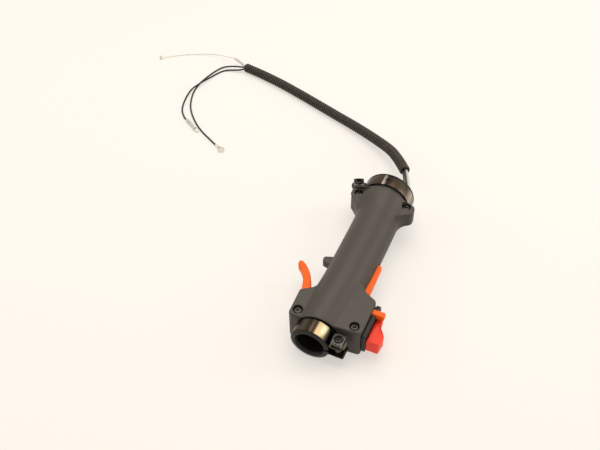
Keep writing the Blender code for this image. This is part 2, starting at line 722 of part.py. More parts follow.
def build_shell_screws(parent, mat):
    """Four pan-head screws with a cross recess, sunk into the upper shell."""
    for name, (x, y, top, length) in screw_places().items():
        seat = top - SCREW_SINK + GAP
        body = rod((x, y, seat), (x, y, seat + SCREW_HEAD_H), SCREW_HEAD_R, end_radius=SCREW_HEAD_R * 0.8)
        join(body, rod((x, y, seat - length), (x, y, seat + mm), SCREW_SHANK_R))
        high = seat + SCREW_HEAD_H
        for long_x, long_y in ((DRIVE_R, DRIVE_R / 3), (DRIVE_R / 3, DRIVE_R)):
            cut(body, block((x - long_x, y - long_y, high - DRIVE_DEPTH), (x + long_x, y + long_y, high + mm)))
        node(name, body, mat, parent)


# Clamps

FRONT_GROOVE_Y = FRONT_SLEEVE_REAR - 4.0 * mm
REAR_GROOVE_Y = REAR_SLEEVE_FRONT + 5.0 * mm


def build_sleeves(parent, mat, casing, leads):
    """Rubber sleeves that the bands squeeze on the tube, each slit on its clamp's side."""
    groove = SLEEVE_GROOVE_WIDTH / 2
    r, deep = FRONT_SLEEVE_R, FRONT_SLEEVE_R - SLEEVE_GROOVE
    lip = FRONT_BAND_R + BAND_THICK - 0.2 * mm
    front = turned([(TUBE_BORE_R, MOUTH_DEPTH), (TUBE_BORE_R + MOUTH_FLARE, 0.0), (lip, 0.0), (lip, SLEEVE_LIP),
                    (r, SLEEVE_LIP), (r, FRONT_GROOVE_Y - groove), (deep, FRONT_GROOVE_Y - groove),
                    (deep, FRONT_GROOVE_Y + groove), (r, FRONT_GROOVE_Y + groove),
                    (r, FRONT_SLEEVE_REAR), (TUBE_BORE_R, FRONT_SLEEVE_REAR)])
    cut(front, block((0.0, -mm, -SLEEVE_SLIT / 2), (2 * r, HANDLE_FRONT, SLEEVE_SLIT / 2)))
    node("front_sleeve", front, mat, parent)

    r, deep = REAR_SPIGOT_R, REAR_SPIGOT_R - SLEEVE_GROOVE
    collar, lip = REAR_SLEEVE_R, REAR_BAND_R + BAND_THICK + 0.2 * mm
    step = HANDLE_REAR + GAP
    lip_start = GRIP_LENGTH - SLEEVE_LIP
    rear = turned([(TUBE_BORE_R, REAR_SLEEVE_FRONT), (r, REAR_SLEEVE_FRONT), (r, REAR_GROOVE_Y - groove),
                   (deep, REAR_GROOVE_Y - groove), (deep, REAR_GROOVE_Y + groove), (r, REAR_GROOVE_Y + groove),
                   (r, step), (collar, step), (collar, lip_start), (lip, lip_start), (lip, GRIP_LENGTH),
                   (TUBE_BORE_R, GRIP_LENGTH)])
    middle = REAR_BAND_START + BAND_WIDTH / 2
    join(rear, rod((0.0, middle, collar - mm), (0.0, middle, REAR_BAND_R + BAND_THICK + 0.4 * mm), PEG_R))
    cut(rear, block((-2 * collar, step - mm, -SLEEVE_SLIT / 2), (0.0, GRIP_LENGTH + mm, SLEEVE_SLIT / 2)))
    beyond = Vector((0.0, 4 * mm, 0.0))
    for path, radius in ((casing, CASING_R), (leads[0], WIRE_R), (leads[1], WIRE_R)):
        cut(rear, tube(path[:-1] + [path[-1] + beyond], radius + RUNNING, 1))
    node("rear_sleeve", rear, mat, parent)


def band_outline(radius, side):
    """A band end-on: nearly a full ring whose ends turn outwards as two parallel lugs."""
    outer = radius + BAND_THICK
    inner_turn = math.asin(LUG_GAP / 2 / radius)
    outer_turn = math.asin((LUG_GAP / 2 + LUG_THICK) / outer)
    tip = outer + LUG_LENGTH
    steps = RING
    inner = [(inner_turn + k * 2 * (math.pi - inner_turn) / steps) for k in range(steps + 1)]
    outer_arc = [(outer_turn + k * 2 * (math.pi - outer_turn) / steps) for k in range(steps + 1)]
    points = [(radius * math.cos(a), radius * math.sin(a)) for a in inner]
    points += [(tip, -LUG_GAP / 2), (tip, -LUG_GAP / 2 - LUG_THICK)]
    points += [(outer * math.cos(a), outer * math.sin(a)) for a in reversed(outer_arc)]
    points += [(tip, LUG_GAP / 2 + LUG_THICK), (tip, LUG_GAP / 2)]
    return [(side * x, y) for x, y in points]


def build_clamp(name, radius, start, side, parent, steel, plated):
    """One clamp: the band, its screw from below and the square nut on top."""
    upright = Matrix.Rotation(math.pi / 2, 4, "X")
    band = prism(band_outline(radius, side), -start - BAND_WIDTH, -start, turn=upright)
    outer = radius + BAND_THICK
    x = side * (outer + NUT_SIDE / 2 + GAP)
    y = start + BAND_WIDTH / 2
    top = LUG_GAP / 2 + LUG_THICK
    cut(band, rod((x, y, -2 * top), (x, y, 2 * top), CLAMP_SCREW_R + GAP))
    keep = rounded(((0.0, -mm, 0.0), (outer + LUG_LENGTH, start, LUG_ROUND),
                    (outer + LUG_LENGTH, start + BAND_WIDTH, LUG_ROUND), (0.0, start + BAND_WIDTH + mm, 0.0)))
    corner = block((side * outer if side > 0 else -2 * tip_reach(outer), start - mm, 0.0),
                   (2 * tip_reach(outer) if side > 0 else -outer, start + BAND_WIDTH + mm, 2 * top))
    cut(corner, prism([(side * p[0], p[1]) for p in keep], -mm, 3 * top))
    cut(band, corner)
    if side < 0:
        cut(band, rod((0.0, y, radius - mm), (0.0, y, outer + mm), PEG_R + GAP))
    node(name, band, steel, parent)

    head = -top - GAP
    screw = rod((x, y, head - CLAMP_HEAD_H), (x, y, head), CLAMP_HEAD_R, end_radius=CLAMP_HEAD_R)
    join(screw, rod((x, y, head - mm), (x, y, top + 2 * GAP + NUT_H + CLAMP_SCREW_PROUD), CLAMP_SCREW_R))
    node(name + "_screw", screw, plated, parent)
    half = NUT_SIDE / 2
    low = top + GAP
    nut = block((x - half, y - half, low), (x + half, y + half, low + NUT_H), 0.5 * mm)
    cut(nut, rod((x, y, low - mm), (x, y, low + NUT_H + mm), CLAMP_SCREW_R + GAP))
    node(name + "_nut", nut, plated, parent)


def tip_reach(outer):
    """How far a band's lugs reach from the tube's axis."""
    return outer + LUG_LENGTH


# Trigger and throttle cable

TRIGGER_SLOT = rounded(((-34 * mm, 36 * mm, 0.0), (-22 * mm, 38 * mm, 0.0), (-13.4 * mm, 40 * mm, 0.0),
                        (-13.4 * mm, 54 * mm, 0.0), (-16.2 * mm, 68 * mm, 0.0), (-34 * mm, 72 * mm, 0.0)))


def trigger_pin_ends():
    """The pin's lower and upper end, inside the shells' walls."""
    return FLOOR - 1.2 * mm, CEILING + 1.2 * mm


def trigger_blade():
    """The blade in plan: a band of changing width along a smooth line, with a round tip."""
    line = smooth_path([(x * mm, y * mm, w * mm) for x, y, w in TRIGGER_LINE], 4 * mm)
    left, right = [], []
    for k, p in enumerate(line):
        along = (line[min(k + 1, len(line) - 1)] - line[max(k - 1, 0)]).xy.normalized()
        across = Vector((-along.y, along.x))
        left.append(p.xy + across * p.z)
        right.append(p.xy - across * p.z)
    tip, width = line[-1].xy, line[-1].z
    start = (left[-1] - tip)
    cap = [tip + Matrix.Rotation(math.pi * k / 6, 2).inverted() @ start for k in range(1, 6)]
    return right + cap[::-1] + left[::-1]


def build_trigger(parent, mat, steel, spring_mat):
    """Trigger blade, hub and bell-crank plate in one moulding, with its pin and return spring."""
    x, y = TRIGGER_PIVOT.xy
    body = prism(trigger_blade(), -TRIGGER_HALF, TRIGGER_HALF, TRIGGER_EDGE)
    foot = FLOOR + GAP
    join(body, rod((x, y, foot), (x, y, TRIGGER_HALF), TRIGGER_HUB_R))
    reach = PULL_X + NIPPLE_R + 2.2 * mm
    arm = TRIGGER_ARM_HALF
    turn = arm * 0.9
    plate = rounded(((x, y - arm, 0.0), (reach, y - arm, turn), (reach, y + arm, turn), (x, y + arm, 0.0)))
    join(body, prism(plate, max(foot, PLATE_TOP - TRIGGER_PLATE), PLATE_TOP))
    cut(body, rod((x, y, foot - mm), (x, y, TRIGGER_HALF + mm), TRIGGER_PIN_R + GAP))
    cut(body, rod((PULL_X, y, foot - mm), (PULL_X, y, PLATE_TOP + mm), NIPPLE_R + RUNNING))
    node("trigger", body, mat, parent, TRIGGER_PIVOT)
    low, high = trigger_pin_ends()
    node("trigger_pin", rod((x, y, low), (x, y, high), TRIGGER_PIN_R), steel, parent)
    legs = ((x - 2.0 * mm, POCKET_FRONT + GAP + SPRING_WIRE_R), (x - 0.5 * mm, y + 6.0 * mm))
    build_spring("trigger_spring", TRIGGER_PIVOT, TRIGGER_HALF + GAP + SPRING_WIRE_R, TRIGGER_PIN_R, 2.5,
                 legs, parent, spring_mat)


def build_spring(name, pivot, low, pin_r, turns, legs, parent, mat):
    """A torsion spring: a helix round a pin with a straight leg at each end."""
    radius = pin_r + 2 * GAP + SPRING_WIRE_R
    count = round(turns * COIL_POINTS)
    points = []
    for k in range(count + 1):
        angle = 2 * math.pi * k / COIL_POINTS + math.pi / 2
        points.append(Vector((pivot.x + radius * math.cos(angle), pivot.y + radius * math.sin(angle),
                              low + SPRING_PITCH * k / COIL_POINTS)))
    gap = least_gap(points, SPRING_WIRE_R, COIL_POINTS)
    print(f"{name}: least gap between turns {gap / mm:.2f} mm")
    first, last = legs
    points = [Vector((*last, points[0].z))] + points + [Vector((*first, points[-1].z))]
    node(name, tube(points, SPRING_WIRE_R, 1), mat, parent)


def build_throttle_cable(parent, casing, steel, casing_mat):
    """Inside the grip: the nipple in the trigger's plate, the pulled wire and the casing."""
    y = TRIGGER_PIVOT.y
    foot = FLOOR + 2 * GAP
    nipple = rod((PULL_X, y, foot), (PULL_X, y, PULL_Z + PULL_WIRE_R + 0.6 * mm), NIPPLE_R)
    node("wire_nipple", nipple, steel, parent)
    start = y + NIPPLE_R + GAP
    pulled = rod((PULL_X, start, PULL_Z), (PULL_X, CASING_STOP - GAP, PULL_Z), PULL_WIRE_R, 8)
    node("pull_wire", pulled, steel, parent)
    node("casing_inside", tube(casing, CASING_R, 2), casing_mat, parent)


# Palm lockout

LOCKOUT_SLOT = rounded((
    (13.6 * mm, 55.4 * mm, 0.0),
    (24.4 * mm, 55.4 * mm, 3.0 * mm),
    (34.0 * mm, 60.6 * mm, 0.0),
    (34.0 * mm, LOCKOUT_REAR + 2 * mm, 0.0),
    (13.6 * mm, LOCKOUT_REAR + 2 * mm, 2.0 * mm),
))
LOCKOUT_SPRING_TOP = LOCKOUT_HALF + 5.2 * mm


def lockout_pin_ends():
    """The lockout pin's ends, in solid material above and below the lever's slot."""
    return -LOCKOUT_HALF - 4.0 * mm, LOCKOUT_SPRING_TOP + 1.6 * mm


def build_lockout(parent, mat, steel, spring_mat):
    """The palm lever that has to be held in while the trigger is pulled, its pin and its spring."""
    x, y = LOCKOUT_PIVOT.xy
    outline = rounded((
        (x - 1.4 * mm, y - 2.0 * mm, 1.6 * mm),
        (x + 3.0 * mm, y - 2.6 * mm, 1.6 * mm),
        (LOCKOUT_FACE + 0.4 * mm, y + 5.4 * mm, 2.0 * mm),
        (LOCKOUT_FACE - 0.4 * mm, LOCKOUT_REAR, 3.0 * mm),
        (LOCKOUT_INNER, LOCKOUT_REAR, 1.8 * mm),
        (LOCKOUT_INNER, y + 6 * mm, 2.0 * mm),
    ))
    body = prism(outline, -LOCKOUT_HALF, LOCKOUT_HALF, LOCKOUT_EDGE)
    join(body, rod((x, y, -LOCKOUT_HALF), (x, y, LOCKOUT_HALF), LOCKOUT_HUB_R))
    cut(body, rod((x, y, -2 * LOCKOUT_HALF), (x, y, 2 * LOCKOUT_HALF), LOCKOUT_PIN_R + GAP))
    node("lockout_lever", body, mat, parent, LOCKOUT_PIVOT)
    low, high = lockout_pin_ends()
    node("lockout_pin", rod((x, y, low), (x, y, high), LOCKOUT_PIN_R), steel, parent)
    legs = ((x - 3.6 * mm, y + 1.6 * mm), (x + 3.6 * mm, y + 1.0 * mm))
    build_spring("lockout_spring", LOCKOUT_PIVOT, LOCKOUT_HALF + GAP + SPRING_WIRE_R, LOCKOUT_PIN_R, 2.5,
                 legs, parent, spring_mat)


# Stop switch and throttle latch

def build_switch(parent, black, red, brass):
    """Stop switch on the head's right wall: base plate, sliding knob, its contact and two terminals."""
    half = LATCH_SIDE / 2 + GAP
    plate = rounded(((BASE_FRONT, -BASE_DEPTH, 1.5 * mm), (BASE_REAR, -BASE_DEPTH, 8.0 * mm),
                     (BASE_REAR, BASE_TOP, 8.0 * mm), (BASE_FRONT, BASE_TOP, 1.5 * mm)), 5)
    base = prism([(p[0], p[1]) for p in plate], BASE_BACK, BASE_FACE, 0.0, ON_SIDE)
    cut(base, block((BASE_BACK - mm, STEM_FRONT - RUNNING, STEM_FOOT - RUNNING),
                    (BASE_FACE + mm, STEM_REAR + SWITCH_TRAVEL + RUNNING, STEM_TOP + RUNNING)))
    cut(base, block((BASE_BACK - mm, LATCH_Y - half, LATCH_Z - half),
                    (BASE_FACE + mm, LATCH_Y + half, LATCH_Z + half)))
    node("switch_base", base, black, parent)

    foot = BASE_FACE + GAP
    face, neck = foot + KNOB_HEIGHT, foot + KNOB_NECK_HEIGHT
    outline = rounded((
        (foot, KNOB_FRONT, 0.0),
        (face - mm, KNOB_FRONT, 1.8 * mm),
        (face, KNOB_WIDE_END, 3.0 * mm),
        (neck, KNOB_NECK_START, 3.0 * mm),
        (neck, KNOB_REAR, 1.8 * mm),
        (foot, KNOB_REAR, 0.0),
    ))
    knob = prism(outline, -KNOB_DEPTH, KNOB_TOP, 1.0 * mm)
    cut(knob, block((foot - mm, KNOB_NECK_START - 4 * mm, KNOB_NECK_TOP),
                    (face + mm, KNOB_REAR + mm, KNOB_TOP + mm)))
    join(knob, block((STEM_END, STEM_FRONT, STEM_FOOT), (foot + 2 * mm, STEM_REAR, STEM_TOP)))
    node("stop_switch_knob", knob, red, parent, Vector((foot, KNOB_FRONT, 0.0)))

    reach = STEM_END - GAP
    bridge_low = min(TERMINAL_LEVELS) - TERMINAL_WIDTH / 2
    bridge_high = max(TERMINAL_LEVELS) + TERMINAL_WIDTH / 2
    contact = block((reach - CONTACT_THICK, STEM_FRONT, bridge_low), (reach, STEM_REAR, bridge_high))
    node("switch_contact", contact, brass, parent, Vector((reach, STEM_FRONT, 0.0)))
    face = reach - CONTACT_THICK - GAP
    for name, level in zip(("switch_terminal_earth", "switch_terminal_coil"), TERMINAL_LEVELS):
        low, high = level - TERMINAL_WIDTH / 2, level + TERMINAL_WIDTH / 2
        terminal = block((RIB_FACE + GAP, TERMINAL_FRONT, low), (face, TERMINAL_REAR, high), 0.2 * mm)
        node(name, terminal, brass, parent)


ON_SIDE = Matrix(((0.0, 0.0, 1.0, 0.0), (1.0, 0.0, 0.0, 0.0), (0.0, 1.0, 0.0, 0.0), (0.0, 0.0, 0.0, 1.0)))


def build_latch(parent, orange, spring_mat):
    """The throttle latch: a bar that is pushed in through the head's right wall against a coil spring."""
    half = LATCH_SIDE / 2
    bar = block((LATCH_IN, LATCH_Y - half, LATCH_Z - half),
                (LATCH_OUT, LATCH_Y + half, LATCH_Z + half), 0.8 * mm)
    wide = LATCH_COLLAR_SIDE / 2
    stop = HEAD_RIGHT - WALL - GAP
    join(bar, block((stop - LATCH_COLLAR, LATCH_Y - wide, LATCH_Z - half),
                    (stop, LATCH_Y + wide, CEILING - GAP)))
    node("throttle_latch", bar, orange, parent, Vector((LATCH_OUT, LATCH_Y, LATCH_Z)))
    start, end = RIB_FACE + GAP + SPRING_WIRE_R, LATCH_IN - GAP - SPRING_WIRE_R
    turns = int((end - start) / SPRING_PITCH)
    count = turns * COIL_POINTS
    points = []
    for k in range(count + 1):
        angle = 2 * math.pi * k / COIL_POINTS
        points.append(Vector((start + (end - start) * k / count, LATCH_Y + (half - mm) * math.cos(angle),
                              LATCH_Z + (half - mm) * math.sin(angle))))
    gap = least_gap(points, SPRING_WIRE_R, COIL_POINTS)
    print(f"latch_spring: least gap between turns {gap / mm:.2f} mm")
    node("latch_spring", tube(points, SPRING_WIRE_R, 1), spring_mat, parent)


def build_leads(parent, leads, mat):
    """The two switch leads on their way through the grip."""
    for name, lead in zip(("stop_lead_earth", "stop_lead_coil"), leads):
        node(name, tube(lead, WIRE_R, 2), mat, parent)


# Free cords

def beside(points, reach, bearing):
    """A line beside a path: reach away from it, on a bearing that turns slowly from its start to its end."""
    shifted = []
    up = Vector((0.0, 0.0, 1.0))
    last = len(points) - 1
    for k, p in enumerate(points):
        along = (points[min(k + 1, last)] - points[max(k - 1, 0)]).normalized()
        right = along.cross(up).normalized()
        angle = LAY_START + LAY_TURN * k / last + bearing
        shifted.append(p + (right * math.cos(angle) + right.cross(along) * math.sin(angle)) * reach)
    return shifted


def build_conduit(parent, stations, mat):
    """The ribbed conduit, a tube of rings with its bore cut out."""
    crest, valley = 1.0, CONDUIT_VALLEY / CONDUIT_R
    points = evenly(stations, RIB_PITCH / 2)
    swell = [crest if k % 2 else valley for k in range(len(points))]
    body = tube(points, CONDUIT_R, 2, swell)
    first = (stations[0] - stations[1]).normalized() * 2 * mm
    last = (stations[-1] - stations[-2]).normalized() * 2 * mm
    bore = tube([stations[0] + first] + stations[1:-1] + [stations[-1] + last], CONDUIT_BORE_R, 2)
    cut(body, bore)
    node("ribbed_conduit", body, mat, parent)
    print(f"ribbed_conduit: {len(points) // 2} ribs")


def build_cords(parent, to_table, casing, leads, mats):
    """Casing, conduit and stop wires, free from the rear sleeve to the carburettor end."""
    black, grey, steel, tin, clear = mats
    stations = smooth_path(in_mm(CONDUIT_ROUTE), CONDUIT_STATION)
    build_conduit(parent, stations, black)

    def leave(path, lay):
        exit_point = to_table @ (path[-1] + Vector((0.0, RUNNING, 0.0)))
        onward = to_table @ (path[-1] + Vector((0.0, RUNNING + 7 * mm, 0.0)))
        inside = beside(stations, *lay)
        run = smooth_path([exit_point, onward, inside[0], inside[1]], CORD_STEP)
        near = min(range(len(run)), key=lambda k: (run[k] - inside[0]).length)
        return run[:near] + inside

    run = leave(casing, CASING_LAY)
    short = round(CASING_SETBACK / CONDUIT_STATION)
    casing_run, liner_run = run[:-short], run[-short:]
    node("cable_casing", tube(casing_run, CASING_R, 2), grey, parent)
    start = casing_run[-1] + (liner_run[0] - casing_run[-1]).normalized() * GAP
    liner = smooth_path([start, *liner_run, *in_mm(LINER_TAIL)], CORD_STEP)
    node("cable_liner", tube(liner, LINER_R, 2), clear, parent)
    along = (liner[-1] - liner[-2]).normalized()
    carb = smooth_path([liner[-1] + along * GAP, *in_mm(CARB_ROUTE)], 4 * mm)
    node("carburettor_wire", tube(carb, CARB_WIRE_R, 2), steel, parent)
    tail = (carb[-1] - carb[-2]).normalized()
    across = Vector((-tail.y, tail.x, 0.0)).normalized()
    middle = carb[-1] + tail * (NIPPLE_R + GAP)
    middle.z = max(middle.z, NIPPLE_R + GAP)
    half = across * 2 * mm
    node("carburettor_nipple", rod(middle - half, middle + half, NIPPLE_R, 12), tin, parent)

    run = leave(leads[0], WIRE_A_LAY) + smooth_path(in_mm(WIRE_A_TAIL), CORD_STEP)
    node("stop_wire_earth", tube(run, WIRE_R, 2), black, parent)
    build_ring_terminal(run, parent, tin)
    run = leave(leads[1], WIRE_B_LAY) + smooth_path(in_mm(WIRE_B_TAIL), CORD_STEP)
    node("stop_wire_coil", tube(run, WIRE_R, 2), black, parent)
    build_bullet(run, parent, tin, clear)


def level_frame(run):
    """Where a cord ends and the level direction that it ends in."""
    along = run[-1] - run[-2]
    along.z = 0.0
    return run[-1], along.normalized()


def build_ring_terminal(run, parent, mat):
    """The ring terminal on the earth wire: a crimped barrel and a flat ring."""
    end, along = level_frame(run)
    crimp = rod(end + along * GAP, end + along * (GAP + CRIMP_LENGTH), CRIMP_R, 10)
    lift = Vector((0.0, 0.0, CRIMP_R + 0.1 * mm - end.z))
    centre = end + along * (CRIMP_LENGTH + TERMINAL_RING_R)
    thick = Vector((0.0, 0.0, TERMINAL_THICK / 2))
    ring = rod(centre - thick, centre + thick, TERMINAL_RING_R, SMALL_ROUND)
    body = join(crimp, ring)
    cut(body, rod(centre - 4 * thick, centre + 4 * thick, TERMINAL_HOLE_R, SMALL_ROUND))
    body.data.transform(Matrix.Translation(lift))
    node("ring_terminal", body, mat, parent)


def build_bullet(run, parent, tin, clear):
    """The bullet terminal on the coil wire, in its clear sleeve."""
    end, along = level_frame(run)
    start = end + along * GAP
    start.z = BULLET_SLEEVE_R + GAP
    body = rod(start, start + along * BULLET_LENGTH, BULLET_R, 10)
    shoulder = start + along * (BULLET_LENGTH - 3 * mm)
    join(body, rod(shoulder, shoulder + along * 4 * mm, BULLET_R + 0.6 * mm, 10, BULLET_R))
    node("bullet_terminal", body, tin, parent)
    low = start + along * 3 * mm
    high = low + along * BULLET_SLEEVE_LENGTH
    sleeve = rod(low, high, BULLET_SLEEVE_R, 12)
    cut(sleeve, rod(low - along * mm, high + along * mm, BULLET_R + GAP, 12))
    node("bullet_sleeve", sleeve, clear, parent)


def main():
    clear_scene()
    shell_mat = finish("shell plastic", (0.055, 0.048, 0.042), 0.55)
    rubber = finish("sleeve rubber", (0.03, 0.03, 0.03), 0.6)
    band_steel = finish("band steel", (0.16, 0.13, 0.10), 0.2, 1.0)
    plated = finish("plated steel", (0.12, 0.11, 0.11), 0.35, 1.0)
    orange = finish("orange plastic", (0.95, 0.16, 0.03), 0.4)
    red = finish("red plastic", (0.85, 0.08, 0.05), 0.4)
    switch_black = finish("switch black", (0.03, 0.03, 0.03), 0.5)
    steel = finish("bright steel", (0.6, 0.58, 0.55), 0.3, 1.0)
    brass = finish("contact brass", (0.7, 0.55, 0.3), 0.3, 1.0)
    casing_grey = finish("casing grey", (0.52, 0.52, 0.5), 0.4)
    cord_black = finish("cord black", (0.03, 0.028, 0.026), 0.5)
    tin = finish("tinned copper", (0.75, 0.7, 0.6), 0.35, 1.0)
    clear = finish("clear sleeve", (0.85, 0.83, 0.8), 0.3)

    grip = bpy.data.objects.new("grip_frame", None)
    table = bpy.data.objects.new("table_frame", None)
    for empty in (grip, table):
        bpy.context.scene.collection.objects.link(empty)
    casing, leads = cable_paths()
    build_shells(grip, shell_mat, casing, leads)
    build_shell_screws(grip, plated)
    build_sleeves(grip, rubber, casing, leads)
    build_clamp("front_band", FRONT_BAND_R, FRONT_BAND_START, 1, grip, band_steel, plated)
    build_clamp("rear_band", REAR_BAND_R, REAR_BAND_START, -1, grip, band_steel, plated)
    build_trigger(grip, orange, steel, steel)
    build_throttle_cable(grip, casing, steel, casing_grey)
    build_lockout(grip, orange, steel, steel)
    build_switch(grip, switch_black, red, brass)
    build_latch(grip, orange, steel)
    build_leads(grip, leads, cord_black)

    grip.rotation_euler = (REST_TILT, 0.0, 0.0)
    bpy.context.view_layer.update()
    corners = [grip.matrix_world @ obj.matrix_local @ v.co for obj in grip.children for v in obj.data.vertices]
    low = [min(c[k] for c in corners) for k in range(3)]
    high = [max(c[k] for c in corners) for k in range(3)]
    grip.location = (0.0, 0.0, -low[2])
    bpy.context.view_layer.update()
    build_cords(table, grip.matrix_world.copy(), casing, leads, (cord_black, casing_grey, steel, tin, clear))
    middle = Vector((-(low[0] + high[0]) / 2, -(low[1] + high[1]) / 2, 0.0))
    grip.location += middle
    table.location = middle


main()
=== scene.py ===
# %% [markdown]
# # Throttle grip of a brush cutter
# The grip lies on its side on a pale table, with its throttle cable and two stop wires stretched out
# behind it.  The engineering model gives every piece its size and place.  This lesson dresses it:
# finer surfaces where the eye rests, real cords, and finishes made only from shader nodes.

# %% Frame
import json
import math

import bpy
import numpy as np
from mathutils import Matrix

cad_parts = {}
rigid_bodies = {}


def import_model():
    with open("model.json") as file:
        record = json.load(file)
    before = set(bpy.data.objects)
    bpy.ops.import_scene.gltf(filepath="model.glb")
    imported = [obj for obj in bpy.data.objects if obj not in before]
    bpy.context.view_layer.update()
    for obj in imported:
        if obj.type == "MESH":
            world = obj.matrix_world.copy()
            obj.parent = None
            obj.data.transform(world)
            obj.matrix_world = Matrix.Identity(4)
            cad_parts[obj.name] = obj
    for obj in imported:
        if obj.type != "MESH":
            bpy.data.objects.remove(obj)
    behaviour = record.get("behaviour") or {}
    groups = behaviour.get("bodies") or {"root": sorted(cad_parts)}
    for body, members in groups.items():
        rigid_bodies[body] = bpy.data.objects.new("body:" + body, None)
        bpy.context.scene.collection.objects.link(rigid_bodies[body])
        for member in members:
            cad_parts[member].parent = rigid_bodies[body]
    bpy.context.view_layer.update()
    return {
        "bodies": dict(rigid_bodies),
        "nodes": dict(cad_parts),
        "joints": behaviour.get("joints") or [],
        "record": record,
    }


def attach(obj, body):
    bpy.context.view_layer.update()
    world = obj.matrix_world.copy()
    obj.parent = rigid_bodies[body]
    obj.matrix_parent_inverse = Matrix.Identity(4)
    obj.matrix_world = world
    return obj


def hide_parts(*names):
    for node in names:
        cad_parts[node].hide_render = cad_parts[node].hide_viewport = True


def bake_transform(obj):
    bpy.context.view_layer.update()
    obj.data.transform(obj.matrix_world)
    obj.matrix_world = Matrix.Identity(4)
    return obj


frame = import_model()
nodes = frame["nodes"]
scene = bpy.context.scene
mm = 0.001

# %% [markdown]
# ## Two frames of reference
# The grip was drawn along its own shaft tube and then tipped by a couple of degrees, because it rests on
# the edge of its head and on the rear clamp.  The cords were drawn on the table.  Both are written in
# millimetres below; these functions carry them into the scene and back.

# %% Places
REST_TILT = 0.040577
GRIP_PLACE = np.array((-5.163, -97.574, 18.551))
TABLE_PLACE = GRIP_PLACE * (1.0, 1.0, 0.0)


def grip_to_table(points):
    """Turns grip points about X by the rest tilt and lifts them: y and z mix by its sine and cosine."""
    x, y, z = np.moveaxis(np.asarray(points, float), -1, 0)
    c, s = math.cos(REST_TILT), math.sin(REST_TILT)
    return np.stack((x, y * c - z * s, y * s + z * c + GRIP_PLACE[2]), -1)


def on_table(points):
    """Table millimetres to scene metres."""
    return (np.asarray(points, float) + TABLE_PLACE) * mm


def on_grip(points):
    """Grip millimetres to scene metres."""
    return on_table(grip_to_table(points))


def off_grip(points):
    """Scene metres back to grip millimetres: the shift and the turn undone."""
    x, y, z = np.moveaxis(np.asarray(points) / mm - GRIP_PLACE, -1, 0)
    c, s = math.cos(REST_TILT), math.sin(REST_TILT)
    return np.stack((x, y * c + z * s, z * c - y * s), -1)


print("grip's front face stands at", np.round(on_grip((0.0, 0.0, 0.0)) / mm, 1), "mm")

# %% [markdown]
# ## Camera
# The photograph looks down on the head at about 45 degrees.  Position, direction and lens were solved
# from points whose place on the grip is known, so the render can be laid over the photograph.

# %% Camera
from mathutils import Vector

CAMERA_PLACE, CAMERA_LOOK = (0.1364, -0.4212, 0.5140), (-0.2961, 0.6404, -0.7087)
SENSOR, LENS = 36.0, 43.56
NEAREST, FARTHEST = 0.01, 50.0


def aimed(direction):
    """The turn that points a camera or a lamp along a direction, with its top up."""
    return Vector(direction).to_track_quat("-Z", "Y").to_euler()


camera = bpy.data.objects.new("camera", bpy.data.cameras.new("camera"))
scene.collection.objects.link(camera)
camera.data.sensor_width = SENSOR
camera.data.lens = LENS
camera.data.clip_start = NEAREST
camera.data.clip_end = FARTHEST
camera.location = CAMERA_PLACE
camera.rotation_euler = aimed(CAMERA_LOOK)
scene.camera = camera
print("camera", [round(v, 3) for v in camera.location])

# %% [markdown]
# ## From arrays to meshes
# Every new piece below is a grid of points worked out by a formula.  Typing faces by hand would be slow
# and easy to turn inside out, so a few small helpers do it: one numbers the quads of a grid, one closes
# its ends, one turns all faces outwards by the sign of the volume, and one writes the arrays into a mesh.

# %% Mesh helpers
def grid_quads(rows, cols, wrap_rows=False, wrap_cols=False):
    """Quads of a grid of rows by cols points, each joining a point to the next in both directions."""
    i, j = np.meshgrid(np.arange(rows - (not wrap_rows)), np.arange(cols - (not wrap_cols)), indexing="ij")
    below, beside = (i + 1) % rows, (j + 1) % cols
    corners = (i * cols + j, i * cols + beside, below * cols + beside, below * cols + j)
    return np.stack(corners, -1).reshape(-1, 4)


def volume_of(points, faces):
    """Six times the volume: the sum over fan triangles of a . (b x c), positive when faces look out."""
    total = 0.0
    for block in faces:
        a = points[block[:, 0]]
        for k in range(1, block.shape[1] - 1):
            total += np.einsum("ij,ij->", a, np.cross(points[block[:, k]], points[block[:, k + 1]]))
    return total


def outwards(points, faces):
    """A body with all faces looking out: they are turned over when its volume comes out negative."""
    if volume_of(points - points.mean(0), faces) < 0:
        faces = [block[:, ::-1] for block in faces]
    return points, faces


def body_of(grid, wrap_rows=False):
    """One closed body from a grid of points (rows, cols, 3); open row ends get a flat face each."""
    rows, cols = grid.shape[:2]
    faces = [grid_quads(rows, cols, wrap_rows, True)]
    if not wrap_rows:
        faces.append(np.arange(cols)[None, ::-1])
        faces.append(((rows - 1) * cols + np.arange(cols))[None])
    return outwards(grid.reshape(-1, 3), faces)


def points_of(mesh):
    """The places of a mesh's points, one row each."""
    flat = np.empty(len(mesh.vertices) * 3)
    mesh.vertices.foreach_get("co", flat)
    return flat.reshape(-1, 3)


def store(mesh, label, values):
    """Keeps one number per point of a mesh, under a name that shader nodes can read."""
    mesh.attributes.new(label, "FLOAT", "POINT").data.foreach_set("value", values)


